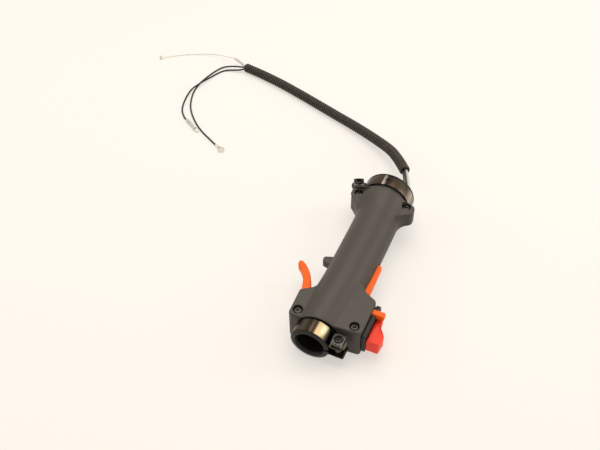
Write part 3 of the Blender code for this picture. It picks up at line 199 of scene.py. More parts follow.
def mark_edges(mesh):
    """Stores how sharply the surface bends outwards at each point, as one over the radius in millimetres:
    the mean over its edges of minus twice the normal times the edge, divided by the edge's length squared;
    kept within 0 and 1."""
    count = len(mesh.vertices)
    normal = np.empty(count * 3)
    ends = np.empty(len(mesh.edges) * 2, np.int32)
    mesh.vertex_normals.foreach_get("vector", normal)
    mesh.edges.foreach_get("vertices", ends)
    place, normal, (one, two) = points_of(mesh) / mm, normal.reshape(-1, 3), ends.reshape(-1, 2).T
    step = place[two] - place[one]
    scale = 2.0 / np.maximum((step ** 2).sum(1), 1e-6)
    bend = np.bincount(one, -(normal[one] * step).sum(1) * scale, count)
    bend += np.bincount(two, (normal[two] * step).sum(1) * scale, count)
    bend /= np.maximum(np.bincount(one, minlength=count) + np.bincount(two, minlength=count), 1)
    store(mesh, "edge", np.clip(bend, 0.0, 1.0))


def dress(mesh, material, crease):
    """Smooth shading below the crease angle, the edge measure and one material."""
    mesh.polygons.foreach_set("use_smooth", np.ones(len(mesh.polygons), bool))
    mesh.set_sharp_from_angle(angle=math.radians(crease))
    mark_edges(mesh)
    mesh.materials.clear()
    mesh.materials.append(material)


def make_piece(name, bodies, place, material, crease=40.0):
    """Puts closed bodies into one mesh object, placed in the scene and smooth below the crease angle."""
    start = 0
    points, corners, sizes = [], [], []
    for body_points, faces in bodies:
        points.append(body_points)
        for block in faces:
            corners.append((block + start).ravel())
            sizes.append(np.full(len(block), block.shape[1]))
        start += len(body_points)
    corners, sizes = np.concatenate(corners), np.concatenate(sizes)
    mesh = bpy.data.meshes.new(name)
    mesh.vertices.add(start)
    mesh.vertices.foreach_set("co", place(np.concatenate(points)).ravel())
    mesh.loops.add(len(corners))
    mesh.loops.foreach_set("vertex_index", corners)
    mesh.polygons.add(len(sizes))
    mesh.polygons.foreach_set("loop_start", np.concatenate(([0], np.cumsum(sizes)[:-1])))
    mesh.update(calc_edges=True)
    mesh.validate()
    dress(mesh, material, crease)
    piece = bpy.data.objects.new(name, mesh)
    scene.collection.objects.link(piece)
    print(f"{name}: {len(mesh.polygons)} faces")
    return piece


def cut_away(piece, bodies, crease):
    """Takes closed bodies out of a piece of the grip with one Boolean modifier, and keeps the result."""
    material = piece.data.materials[0]
    tool = make_piece(piece.name + "_tool", bodies, on_grip, material)
    modifier = piece.modifiers.new("cut", "BOOLEAN")
    modifier.operation = "DIFFERENCE"
    modifier.solver = "EXACT"
    modifier.object = tool
    graph = bpy.context.evaluated_depsgraph_get()
    result = bpy.data.meshes.new_from_object(piece.evaluated_get(graph))
    piece.modifiers.clear()
    if "edge" in result.attributes:
        result.attributes.remove(result.attributes["edge"])
    piece.data = result
    dress(result, material, crease)
    bpy.data.objects.remove(tool, do_unlink=True)
    print(f"{piece.name}: {len(result.polygons)} faces after the cut")


# %% [markdown]
# ## Lines, profiles and outlines
# Three kinds of shape cover almost the whole grip.  A cord is a profile carried along a smooth line.  A
# turned part is a profile carried round an axis.  A moulded part is a flat outline with a rounded edge
# carried round it.  Each has one function, and all of them work on whole arrays.

# %% Lines
CURVE_STEPS, BORE_ROWS = 32, 90


def evenly(line, step):
    """The same line with its points evenly spaced: each coordinate is read off at equal lengths."""
    reach = np.concatenate(([0.0], np.cumsum(np.linalg.norm(np.diff(line, axis=0), axis=1))))
    want = np.linspace(0.0, reach[-1], max(2, round(reach[-1] / step)) + 1)
    return np.stack([np.interp(want, reach, axis) for axis in line.T], -1)


def smooth_line(points, step):
    """A curve through all points: on each stretch the cubic whose slope at a point is half the way between
    that point's two neighbours; then spaced evenly."""
    p = np.asarray(points, float)
    p = np.vstack((2 * p[0] - p[1], p, 2 * p[-1] - p[-2]))
    a, b, c, d = p[:-3, None], p[1:-2, None], p[2:-1, None], p[3:, None]
    t = np.linspace(0.0, 1.0, CURVE_STEPS + 1)[None, :-1, None]
    second, third = 2 * a - 5 * b + 4 * c - d, 3 * b - a - 3 * c + d
    cubic = 0.5 * (2 * b + (c - a) * t + second * t ** 2 + third * t ** 3)
    return evenly(np.vstack((cubic.reshape(-1, p.shape[1]), p[-2:-1])), step)


def length_of(line):
    """The length of a line: the sum of the steps between its points."""
    return np.linalg.norm(np.diff(line, axis=0), axis=1).sum()


def unit(vectors):
    """Vectors divided by their own lengths."""
    return vectors / np.linalg.norm(vectors, axis=-1, keepdims=True)


def carried(line, section, up=(0.0, 0.0, 1.0)):
    """A profile carried along a line: at each point the profile's first coordinate is laid along the level
    direction across the line and its second along the direction square to both."""
    along = unit(np.gradient(line, axis=0))
    side = unit(np.cross(along, np.asarray(up)))
    rise = np.cross(side, along)
    section = np.broadcast_to(section, (len(line), *np.shape(section)[-2:]))
    return line[:, None] + section[..., :1] * side[:, None] + section[..., 1:] * rise[:, None]


def circle(radius, count):
    """A circle's points: radius times cosine and sine of equal steps of a full turn."""
    turn = np.arange(count) * 2 * math.pi / count
    return radius * np.stack((np.cos(turn), np.sin(turn)), -1)


def hollow(line, outer, inner, count):
    """A tube with a wall, as one closed skin: rings outwards along the line, then back inside the bore.
    The outer radius may change from point to point."""
    outer = np.broadcast_to(outer, len(line))[:, None, None] * circle(1.0, count)
    back = line[:: -max(1, len(line) // BORE_ROWS)]
    back = np.vstack((line[-1:], back[1:-1], line[:1]))
    return np.vstack((carried(line, outer), carried(back[::-1], circle(inner, count))[::-1]))


# %% Turned parts
AXES = {
    "x": np.array(((0.0, 1.0, 0.0), (0.0, 0.0, 1.0), (1.0, 0.0, 0.0))),
    "y": np.array(((0.0, 0.0, 1.0), (1.0, 0.0, 0.0), (0.0, 1.0, 0.0))),
    "z": np.eye(3),
}


def turned(profile, axis, centre, count=96, start=0.0, end=2 * math.pi):
    """A profile of (radius, height) pairs carried round an axis: radius times cosine and sine across it,
    height along it.  A full turn closes on itself, a part turn gets two flat ends."""
    full = end - start > 2 * math.pi - 1e-6
    turn = np.linspace(start, end, count + (not full))[: count if full else None, None]
    radius, height = np.asarray(profile, float).T
    flat = np.stack(np.broadcast_arrays(radius * np.cos(turn), radius * np.sin(turn), height), -1)
    return body_of(flat @ AXES[axis] + np.asarray(centre, float), wrap_rows=full)


def plain_ring(inner, outer, low, high):
    """The profile of a ring with square edges."""
    return (inner, low), (outer, low), (outer, high), (inner, high)


# %% Moulded parts
def rounded_outline(corners, fineness=7):
    """A closed outline with round corners: each corner (x, y, radius) becomes an arc that touches both of
    its sides, of points on the circle between the two touching points."""
    corners = np.asarray(corners, float)
    here, radius = corners[:, :2], corners[:, 2]
    before, after = unit(np.roll(here, 1, 0) - here), unit(np.roll(here, -1, 0) - here)
    half = 0.5 * np.arccos(np.clip((before * after).sum(1), -1.0, 1.0))
    centre = here + unit(before + after) * (radius / np.sin(half))[:, None]
    first = here + before * (radius / np.tan(half))[:, None] - centre
    sweep = (math.pi - 2 * half) * np.sign(before[:, 1] * after[:, 0] - before[:, 0] * after[:, 1])
    turn = sweep[:, None] * np.linspace(0.0, 1.0, fineness)
    x = first[:, :1] * np.cos(turn) - first[:, 1:] * np.sin(turn)
    y = first[:, :1] * np.sin(turn) + first[:, 1:] * np.cos(turn)
    line = (centre[:, None] + np.stack((x, y), -1)).reshape(-1, 2)
    return line[np.linalg.norm(line - np.roll(line, 1, 0), axis=1) > 1e-6]


def facing(outline):
    """Outward directions of an outline drawn anticlockwise: the step between neighbours, turned by -90."""
    along = unit(np.roll(outline, -1, 0) - np.roll(outline, 1, 0))
    if np.sum(outline[:, 0] * np.roll(outline[:, 1], -1) - outline[:, 1] * np.roll(outline[:, 0], -1)) < 0:
        along = -along
    return np.stack((along[:, 1], -along[:, 0]), -1)


def moulded(outline, low, high, edge, frame="z", fineness=5):
    """A flat outline given thickness, with its edge rounded: the outline is drawn in by edge times one
    minus the sine of an angle while the height moves by edge times one minus its cosine."""
    turn = np.linspace(0.0, math.pi / 2, fineness)
    inset = edge * (1 - np.sin(turn))
    drop = edge * (1 - np.cos(turn))
    inset, level = np.concatenate((inset, inset[::-1])), np.concatenate((low + drop, high - drop[::-1]))
    ring = outline[None] - facing(outline)[None] * inset[:, None, None]
    grid = np.concatenate((ring, np.broadcast_to(level[:, None, None], (*ring.shape[:2], 1))), -1)
    return body_of(grid @ AXES[frame])


print("helpers ready")

# %% [markdown]
# ## Finishes
# A moulded part is never one flat colour: the tool leaves a fine grain and the resin is a little uneven.
# Outward edges are painted lighter, a painted highlight, and hands that rub them lower their roughness.
# Three node groups hold these effects, so each material only chooses its own values.  The groups give out
# colours, values and heights; the shader itself stays in the material.

# %% Node groups
GRAIN_CELLS, GRAIN_FINER, GRAIN_SHARE = 2600.0, 2.3, 0.45
HIGHLIGHT_BREAKUP, LEAST_ROUGHNESS = 420.0, 0.04


def opaque(value):
    """A colour with full opacity; a plain number stays as it is."""
    return (*value, 1.0) if isinstance(value, tuple) else value


def new_group(name, takes, gives, kind):
    """An empty shader node group with one output; each input is a colour or a number, as its first value
    is.  Returns the group with its first and last node."""
    group = bpy.data.node_groups.new(name, "ShaderNodeTree")
    for label, value in takes.items():
        taken = "NodeSocketColor" if isinstance(value, tuple) else "NodeSocketFloat"
        socket = group.interface.new_socket(label, in_out="INPUT", socket_type=taken)
        socket.default_value = opaque(value)
    group.interface.new_socket(gives, in_out="OUTPUT", socket_type=kind)
    return group, group.nodes.new("NodeGroupInput"), group.nodes.new("NodeGroupOutput")


def object_place(tree):
    """The place on the object, in metres."""
    return tree.nodes.new("ShaderNodeTexCoord").outputs["Object"]


def stored(tree, label):
    """A number that the mesh keeps at its points."""
    made = tree.nodes.new("ShaderNodeAttribute")
    made.attribute_name = label
    return made.outputs["Fac"]


def math_node(tree, operation, first, second=None, third=None):
    """One Math node; an input is either another node's socket or a plain number."""
    made = tree.nodes.new("ShaderNodeMath")
    made.operation = operation
    for socket, value in zip(made.inputs, (first, second, third)):
        if isinstance(value, (int, float)):
            socket.default_value = value
        elif value is not None:
            tree.links.new(value, socket)
    return made.outputs[0]


def noise(tree, vector, scale, detail, rough=0.5):
    """A noise texture read at a vector; its value runs from 0 to 1."""
    made = tree.nodes.new("ShaderNodeTexNoise")
    made.inputs["Detail"].default_value = detail
    made.inputs["Roughness"].default_value = rough
    tree.links.new(vector, made.inputs["Vector"])
    if isinstance(scale, (int, float)):
        made.inputs["Scale"].default_value = scale
    else:
        tree.links.new(scale, made.inputs["Scale"])
    return made.outputs["Fac"]


def grain_group():
    """Tool grain: small cells with soft tops, broken up by finer noise.  Height is 0 to a little over 1."""
    group, start, end = new_group("tool_grain", {"Cells per Metre": GRAIN_CELLS}, "Height", "NodeSocketFloat")
    place, scale = object_place(group), start.outputs["Cells per Metre"]
    cells = group.nodes.new("ShaderNodeTexVoronoi")
    cells.feature = "SMOOTH_F1"
    group.links.new(place, cells.inputs["Vector"])
    group.links.new(scale, cells.inputs["Scale"])
    fine = noise(group, place, math_node(group, "MULTIPLY", scale, GRAIN_FINER), detail=2.0)
    height = math_node(group, "MULTIPLY_ADD", fine, GRAIN_SHARE, cells.outputs["Distance"])
    group.links.new(height, end.inputs["Height"])
    return group


def tone_group():
    """Colour that drifts in soft patches, and turns towards a lighter edge colour where the surface bends
    out: a painted highlight on outward edges.
    """
    takes = {"Colour": (0.5, 0.5, 0.5), "Edge Colour": (0.6, 0.6, 0.6), "Edge": 0.3, "Drift": 0.1,
             "Patches per Metre": 60.0}
    group, start, end = new_group("resin_tone", takes, "Colour", "NodeSocketColor")
    place = object_place(group)
    patch = noise(group, place, start.outputs["Patches per Metre"], detail=3.0, rough=0.6)
    swing = math_node(group, "MULTIPLY", math_node(group, "SUBTRACT", patch, 0.5), start.outputs["Drift"])
    tone = group.nodes.new("ShaderNodeHueSaturation")
    group.links.new(math_node(group, "MULTIPLY_ADD", swing, 2.0, 1.0), tone.inputs["Value"])
    group.links.new(start.outputs["Colour"], tone.inputs["Color"])
    # Painted highlight: where the surface bends out, the colour turns towards the edge colour, in spots of a
    # noise.
    edge_highlight = math_node(group, "MULTIPLY", stored(group, "edge"), noise(group, place, HIGHLIGHT_BREAKUP, detail=2.0))
    share = math_node(group, "MINIMUM", math_node(group, "MULTIPLY", edge_highlight, start.outputs["Edge"]), 1.0)
    mix = group.nodes.new("ShaderNodeMix")
    mix.data_type = "RGBA"
    group.links.new(share, mix.inputs["Factor"])
    group.links.new(tone.outputs["Color"], mix.inputs[6])
    group.links.new(start.outputs["Edge Colour"], mix.inputs[7])
    group.links.new(mix.outputs[2], end.inputs["Colour"])
    return group


def polish_group():
    """Roughness that wanders about its middle value, and falls on outward edges that hands have rubbed."""
    takes = {"Roughness": 0.5, "Wander": 0.15, "Marks per Metre": 180.0, "Rubbed": 0.1}
    group, start, end = new_group("hand_polish", takes, "Roughness", "NodeSocketFloat")
    marks = noise(group, object_place(group), start.outputs["Marks per Metre"], detail=5.0, rough=0.65)
    swing = math_node(group, "SUBTRACT", marks, 0.5)
    level = math_node(group, "MULTIPLY_ADD", swing, start.outputs["Wander"], start.outputs["Roughness"])
    worn = math_node(group, "MULTIPLY", stored(group, "edge"), start.outputs["Rubbed"])
    rubbed = math_node(group, "SUBTRACT", level, worn)
    group.links.new(math_node(group, "MAXIMUM", rubbed, LEAST_ROUGHNESS), end.inputs["Roughness"])
    return group


GRAIN, TONE, POLISH = grain_group(), tone_group(), polish_group()
print("node groups:", [group.name for group in (GRAIN, TONE, POLISH)])

# %% [markdown]
# ## One recipe, many finishes
# Plastics, rubbers and metals on this grip differ in colour, gloss and grain, not in kind, so one recipe
# sets up all of them.  Plain numbers go straight on the shader; only what changes over the surface comes
# through the groups.

# %% Finish recipe
def set_values(node, **values):
    """Plain values on a node's inputs; underscores in names stand for spaces."""
    for label, value in values.items():
        node.inputs[label.replace("_", " ")].default_value = opaque(value)


def placed(tree, group, **values):
    """A group node in a material, with its own values set."""
    made = tree.nodes.new("ShaderNodeGroup")
    made.node_tree = group
    set_values(made, **values)
    return made


def new_material(name):
    """A material made of nodes; returns it with its node tree and its Principled shader."""
    mat = bpy.data.materials.new(name)
    mat.use_nodes = True
    return mat, mat.node_tree, mat.node_tree.nodes["Principled BSDF"]


def finish(name, colour, edge_highlight_colour, roughness, relief, metallic=0.0, cells=GRAIN_CELLS, drift=0.1, edge=0.3,
           wander=0.15, rubbed=0.1, shine=0.5):
    """A Principled material: colour from the tone group, with its painted edge highlight, roughness from the
    polish group, bump from the grain, whose relief is in millimetres."""
    mat, tree, shader = new_material(name)
    set_values(shader, Metallic=metallic, Specular_IOR_Level=shine)
    tone = placed(tree, TONE, Colour=colour, Edge_Colour=edge_highlight_colour, Edge=edge, Drift=drift)
    tree.links.new(tone.outputs["Colour"], shader.inputs["Base Color"])
    polish = placed(tree, POLISH, Roughness=roughness, Wander=wander, Rubbed=rubbed)
    tree.links.new(polish.outputs["Roughness"], shader.inputs["Roughness"])
    bump = tree.nodes.new("ShaderNodeBump")
    set_values(bump, Strength=1.0, Distance=relief * mm)
    tree.links.new(placed(tree, GRAIN, Cells_per_Metre=cells).outputs["Height"], bump.inputs["Height"])
    tree.links.new(bump.outputs["Normal"], shader.inputs["Normal"])
    return mat


# Each edge colour is a painted highlight on outward edges: a pale rim on shells and sleeves, bright edges on
# screws and nuts, lit crests on the conduit's ribs.
LOOKS = {
    "shell_plastic": dict(colour=(0.0395, 0.0300, 0.0212), edge_highlight_colour=(0.13, 0.105, 0.085), roughness=0.50,
                          relief=0.035, cells=1500.0),
    "sleeve_rubber": dict(colour=(0.011, 0.010, 0.009), edge_highlight_colour=(0.10, 0.09, 0.08), roughness=0.40,
                          relief=0.012, cells=3000.0, shine=0.2),
    "plated_steel": dict(colour=(0.010, 0.009, 0.008), edge_highlight_colour=(0.60, 0.57, 0.52), roughness=0.30,
                         relief=0.004, metallic=1.0, cells=5000.0, edge=0.6, wander=0.2),
    "orange_plastic": dict(colour=(1.0, 0.14, 0.005), edge_highlight_colour=(1.0, 0.22, 0.03), roughness=0.46,
                           relief=0.008, drift=0.05, shine=0.25),
    "red_plastic": dict(colour=(1.0, 0.058, 0.026), edge_highlight_colour=(1.0, 0.11, 0.07), roughness=0.46,
                        relief=0.008, drift=0.05, shine=0.25),
    "switch_black": dict(colour=(0.008, 0.0074, 0.0068), edge_highlight_colour=(0.05, 0.045, 0.04), roughness=0.46,
                         relief=0.015, cells=2200.0, shine=0.25),
    "bright_steel": dict(colour=(0.55, 0.52, 0.48), edge_highlight_colour=(0.8, 0.78, 0.74), roughness=0.26,
                         relief=0.003, metallic=1.0, cells=6000.0),
    "contact_brass": dict(colour=(0.68, 0.50, 0.22), edge_highlight_colour=(0.85, 0.72, 0.42), roughness=0.28,
                          relief=0.003, metallic=1.0, cells=6000.0),
    "casing_grey": dict(colour=(0.62, 0.60, 0.57), edge_highlight_colour=(0.70, 0.68, 0.65), roughness=0.36,
                        relief=0.006, cells=1800.0, drift=0.06),
    "rib_black": dict(colour=(0.004, 0.003, 0.0025), edge_highlight_colour=(0.16, 0.128, 0.10), roughness=0.40,
                      relief=0.004, edge=1.6, shine=0.2),
    "cord_black": dict(colour=(0.014, 0.011, 0.009), edge_highlight_colour=(0.04, 0.034, 0.03), roughness=0.36,
                       relief=0.006, shine=0.25),
    "tinned_copper": dict(colour=(0.66, 0.60, 0.50), edge_highlight_colour=(0.85, 0.82, 0.76), roughness=0.30,
                          relief=0.004, metallic=1.0, cells=6000.0),
}
finishes = {slot: finish(slot.replace("_", " "), **look) for slot, look in LOOKS.items()}
print(len(finishes), "finishes so far")

# %% [markdown]
# ## Painted reflections on the plating, and clear plastic
# The clamp bands are zinc plated.  The streaks that run along the shaft on them are painted reflections of
# lamps and room, in the gold, olive and brown tints of the plating.  They change with the angle round it, so
# each band stores that angle at its points and a ramp gives the tint; a noise that is long along the shaft
# breaks the streaks up.  The liner and the small sleeve on the bullet terminal let light through: they keep
# one transmission value and only their gloss varies.

# %% Plating
BLACK, BROWN, OLIVE = (0.012, 0.010, 0.008), (0.058, 0.037, 0.027), (0.075, 0.066, 0.042)
GOLD, PALE, GREY = (0.40, 0.29, 0.15), (0.64, 0.52, 0.30), (0.42, 0.36, 0.30)
# Painted reflections: each stop is an angle round the band in degrees and the tint of the light or dark it
# stands for.
FRONT_REFLECTION_STREAKS = (
    (0, OLIVE), (32, BLACK), (46, OLIVE), (66, PALE), (75, GOLD), (82, BLACK), (90, BROWN), (98, BLACK),
    (114, OLIVE), (126, BROWN), (168, BROWN), (182, GREY), (205, BLACK), (325, BLACK), (345, BROWN))
REAR_REFLECTION_STREAKS = (
    (0, BROWN), (38, BLACK), (58, BROWN), (76, BROWN), (80, GREY), (86, BLACK), (104, BROWN), (122, OLIVE),
    (138, BROWN), (157, GREY), (174, OLIVE), (205, BLACK))
STREAK_STRETCH, STREAK_SCALE, STREAK_SHIFT = (1.0, 0.05, 1.0), 420.0, 0.02


def plating(name, streaks):
    """Plated steel whose base colour holds painted reflections: a ramp over the angle round the shaft,
    shifted a little by a noise that is long along Y; each streak is an angle in degrees from the lugs and its
    tint."""
    mat = finish(name, (0.10, 0.085, 0.07), (0.5, 0.45, 0.38), roughness=0.32, relief=0.002, metallic=1.0,
                 cells=4000.0, edge=0.7, wander=0.10, rubbed=0.05)
    tree = mat.node_tree
    stretch = tree.nodes.new("ShaderNodeMapping")
    stretch.inputs["Scale"].default_value = STREAK_STRETCH
    tree.links.new(object_place(tree), stretch.inputs["Vector"])
    shift = math_node(tree, "SUBTRACT", noise(tree, stretch.outputs["Vector"], STREAK_SCALE, detail=3.0), 0.5)
    ramp = tree.nodes.new("ShaderNodeValToRGB")
    while len(ramp.color_ramp.elements) < len(streaks):
        ramp.color_ramp.elements.new(0.5)
    for stop, (degrees, tint) in zip(ramp.color_ramp.elements, streaks):
        stop.position = degrees / 360
        stop.color = opaque(tint)
    angle = math_node(tree, "MULTIPLY_ADD", shift, STREAK_SHIFT, stored(tree, "turn"))
    tree.links.new(angle, ramp.inputs["Fac"])
    tree.links.new(ramp.outputs["Color"], tree.nodes["Principled BSDF"].inputs["Base Color"])
    return mat


def clear_plastic(name, colour, passing):
    """See-through plastic: one tint and one transmission weight, gloss from the polish group."""
    mat, tree, shader = new_material(name)
    set_values(shader, Base_Color=colour, Transmission_Weight=passing, IOR=1.42)
    polish = placed(tree, POLISH, Roughness=0.28, Wander=0.2, Marks_per_Metre=600.0)
    tree.links.new(polish.outputs["Roughness"], shader.inputs["Roughness"])
    return mat


finishes["band_steel"] = plating("front plating and painted reflections", FRONT_REFLECTION_STREAKS)
finishes["rear_band_steel"] = plating("rear plating and painted reflections", REAR_REFLECTION_STREAKS)
finishes["clear_tube"] = clear_plastic("milky liner", (0.86, 0.84, 0.79), 0.45)
print(len(finishes), "finishes")

# %% [markdown]
# ## Table and light
# The photograph was taken on a warm white table under soft, wide light, with only faint shadows.  A big
# overhead softbox and a smaller one on each side do the same here.  Near the grip about half of the table's
# brightness comes from being lit.  The rest is a glow for rays that show the surroundings alone, so that
# the table stays pale without more light on the grip; it takes over with the distance, where the lamps no
# longer reach.

# %% Table
PAPER, TABLE_REACH = (1.0, 0.965, 0.91), 4.0


def pale_rays(tree):
    """1 for rays that show the surroundings: from the camera, in a mirror or through clear plastic."""
    path = tree.nodes.new("ShaderNodeLightPath").outputs
    shown = math_node(tree, "ADD", path["Is Camera Ray"], path["Is Glossy Ray"])
    return math_node(tree, "MINIMUM", math_node(tree, "ADD", shown, path["Is Transmission Ray"]), 1.0)


def mixed(tree, share, first, second):
    """Two shaders mixed: all of the first where the share is 0, all of the second where it is 1."""
    mix = tree.nodes.new("ShaderNodeMixShader")
    for source, socket in zip((share, first, second), mix.inputs):
        tree.links.new(source, socket)
    return mix.outputs["Shader"]


table_finish, tree, paper = new_material("table paper")
set_values(paper, Base_Color=PAPER, Roughness=0.9, Specular_IOR_Level=0.1)
glow = tree.nodes.new("ShaderNodeEmission")
set_values(glow, Color=PAPER)
far = tree.nodes.new("ShaderNodeVectorMath")
far.operation = "LENGTH"
tree.links.new(object_place(tree), far.inputs[0])
rise = tree.nodes.new("ShaderNodeMapRange")
rise.interpolation_type = "SMOOTHSTEP"
set_values(rise, From_Min=0.4, From_Max=1.2, To_Min=0.55, To_Max=1.0)
tree.links.new(far.outputs["Value"], rise.inputs["Value"])
share = math_node(tree, "MULTIPLY", pale_rays(tree), rise.outputs["Result"])
surface = mixed(tree, share, paper.outputs["BSDF"], glow.outputs["Emission"])
tree.links.new(surface, tree.nodes["Material Output"].inputs["Surface"])

corners = TABLE_REACH * np.array(((-1.0, -1.0, 0.0), (1.0, -1.0, 0.0), (1.0, 1.0, 0.0), (-1.0, 1.0, 0.0)))
floor_mesh = bpy.data.meshes.new("table")
floor_mesh.from_pydata(corners, [], [(0, 1, 2, 3)])
floor_mesh.materials.append(table_finish)
table = bpy.data.objects.new("table", floor_mesh)
scene.collection.objects.link(table)
print("table", 2 * TABLE_REACH, "m wide")

# %% Light
LAMP_TINT, ROOM_TINT, ROOM_STRENGTH = (1.0, 0.96, 0.9), (1.0, 0.92, 0.82), 0.42
GRIP_MIDDLE = (0.0, 0.0, 0.03)


def softbox(name, place, aim, size, power):
    """A rectangular lamp at a place, turned to face a point."""
    lamp = bpy.data.lights.new(name, "AREA")
    lamp.shape = "RECTANGLE"
    lamp.size, lamp.size_y = size
    lamp.energy = power
    lamp.color = LAMP_TINT
    box = bpy.data.objects.new(name, lamp)
    box.location = place
    box.rotation_euler = aimed(Vector(aim) - Vector(place))
    scene.collection.objects.link(box)


softbox("overhead", place=(-0.15, 0.4, 1.5), aim=(-0.05, 0.05, 0.0), size=(1.4, 1.4), power=14.5)
softbox("palm_side", place=(1.1, 0.75, 0.75), aim=GRIP_MIDDLE, size=(0.25, 0.9), power=5.0)
softbox("finger_side", place=(-1.1, -0.2, 0.8), aim=GRIP_MIDDLE, size=(0.25, 0.8), power=2.2)

world = bpy.data.worlds.new("room")
scene.world = world
world.use_nodes = True
tree = world.node_tree
room, pale = tree.nodes["Background"], tree.nodes.new("ShaderNodeBackground")
set_values(room, Color=ROOM_TINT, Strength=ROOM_STRENGTH)
set_values(pale, Color=PAPER, Strength=1.0)
surroundings = mixed(tree, pale_rays(tree), room.outputs["Background"], pale.outputs["Background"])
tree.links.new(surroundings, tree.nodes["World Output"].inputs["Surface"])
scene.view_settings.view_transform = "Standard"

# %% [markdown]
# ## A piece, its body and its finish
# Every piece below is given the body it moves with and the finish it takes, and the solids of the engineering
# model that it stands for are hidden.  One function makes the piece and does all three.

# %% Pieces
def add_piece(name, bodies, slot, *solids, body="grip", place=on_grip, look=None, crease=40.0):
    """A piece that moves with its body, takes the finish of its slot unless another look is named, and hides
    the solids it stands for.
    """
    piece = make_piece(name, bodies, place, finishes[look or slot], crease)
    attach(piece, body)
    if solids:
        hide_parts(*solids)
    return piece


# %% [markdown]
# ## Cords first
# Behind the grip a grey cable casing and two stop wires run into a ribbed conduit.  At its far end a clear
# liner with the throttle wire comes out, and the wires go on to a ring and a bullet terminal.  Their routes
# are the engineering model's own, point for point, because a cord has to lie where its solid lies.  Each one
# is a profile carried along a smooth line through its route.

# %% Routes (millimetres on the table)
CONDUIT_ROUTE = (
    (0.8, 240.3, 19.9), (-5.9, 249.5, 18.5), (-16.8, 263.1, 16.0), (-29.0, 275.1, 13.4),
    (-55.0, 292.4, 9.0), (-82.0, 306.1, 6.6), (-109.3, 317.0, 5.8), (-137.0, 327.5, 5.7),
    (-165.8, 338.0, 5.7), (-195.3, 348.0, 5.7), (-225.5, 356.2, 5.7), (-249.7, 361.4, 5.7))
LINER_TAIL = ((-260.8, 366.8, 6.9), (-270.3, 370.9, 7.4))
CARB_ROUTE = (
    (-273.0, 371.4, 7.4), (-280.1, 371.9, 6.6), (-288.2, 373.0, 5.6), (-299.2, 373.9, 4.0),
    (-312.0, 372.7, 2.4), (-325.9, 368.0, 1.4), (-339.7, 360.9, 1.1), (-351.8, 351.0, 1.4),
    (-361.2, 341.9, 1.9))
EARTH_TAIL = (
    (-257.3, 358.8, 6.2), (-265.7, 358.3, 4.8), (-272.4, 357.3, 3.4), (-278.4, 354.8, 2.2),
    (-282.6, 349.2, 1.4), (-286.2, 336.0, 1.2), (-288.0, 323.0, 1.2), (-288.6, 309.8, 1.2),
    (-285.6, 291.0, 1.2), (-276.6, 269.6, 1.2), (-265.5, 253.9, 1.2), (-251.1, 239.6, 1.2),
    (-237.4, 229.4, 1.2), (-222.8, 221.0, 1.2), (-210.6, 214.4, 1.2))
COIL_TAIL = (
    (-255.9, 356.1, 3.6), (-263.8, 354.0, 2.4), (-270.3, 352.0, 1.6), (-276.1, 347.6, 1.2),
    (-279.8, 339.5, 1.3), (-282.2, 330.0, 1.9), (-284.6, 318.0, 3.2), (-286.8, 308.0, 3.8),
    (-289.6, 293.0, 3.2), (-287.4, 275.0, 1.4), (-280.4, 256.6, 1.2), (-270.8, 245.0, 1.4),
    (-264.6, 240.6, 1.7))
GRIP_END, STRAIGHT_OUT = 195.6, 7.0
STATION, CASING_SETBACK, CORD_GAP = 9.0, 27.0, 0.3
CASING_EXIT, EARTH_EXIT, COIL_EXIT = (16.4, 0.0), (14.2, 7.4), (11.4, 9.3)
CASING_REACH, CASING_BEARING = 1.2, 180.0
WIRE_REACH, WIRE_BEARING = 2.62, 28.5
FIRST_BEARING, LAST_BEARING = 135.0, 180.0
CORD_STEP, LINER_STEP, STRAND_STEP = 1.5, 1.0, 0.4
stations = smooth_line(CONDUIT_ROUTE, STATION)


def beside(line, reach, bearing):
    """A line beside another: reach away, on a bearing that turns by 45 degrees from its start to its end."""
    angle = np.radians(np.linspace(FIRST_BEARING, LAST_BEARING, len(line)) + bearing)
    offset = reach * np.stack((np.cos(angle), np.sin(angle)), -1)
    return carried(line, offset[:, None])[:, 0]


def leaving(hole, reach, bearing):
    """Straight out of the rear sleeve at a hole (x, z), then along the conduit at a place inside it."""
    x, z = hole
    out = grip_to_table(((x, GRIP_END, z), (x, GRIP_END + STRAIGHT_OUT, z)))
    return np.vstack((out, beside(stations, reach, bearing)))


casing_way = leaving(CASING_EXIT, CASING_REACH, CASING_BEARING)
setback = round(CASING_SETBACK / STATION)
casing_line = smooth_line(casing_way[:-setback], CORD_STEP)
liner_start = casing_line[-1] + unit(casing_way[-setback] - casing_line[-1]) * CORD_GAP
liner_line = smooth_line(np.vstack((liner_start, casing_way[-setback:], LINER_TAIL)), LINER_STEP)
carb_start = liner_line[-1] + unit(liner_line[-1] - liner_line[-2]) * CORD_GAP
carb_line = smooth_line(np.vstack((carb_start, CARB_ROUTE)), STRAND_STEP)
earth_line = smooth_line(np.vstack((leaving(EARTH_EXIT, WIRE_REACH, -WIRE_BEARING), EARTH_TAIL)), CORD_STEP)
coil_line = smooth_line(np.vstack((leaving(COIL_EXIT, WIRE_REACH, WIRE_BEARING), COIL_TAIL)), CORD_STEP)
for label, line in (("conduit", stations), ("casing", casing_line), ("liner", liner_line),
                    ("throttle wire", carb_line), ("earth wire", earth_line), ("coil wire", coil_line)):
    print(f"{label}: {length_of(line):.0f} mm")

# %% [markdown]
# ## Ribbed conduit
# The conduit is blown polythene: rings with flat tops and flat valleys at a 3.1 mm pitch, and a thin wall.
# Its radius swings between valley and crest as a squared-off sine of the length along it, which keeps the
# tops flat.  The skin turns in at both ends and runs back inside, so the open ends show a real wall.

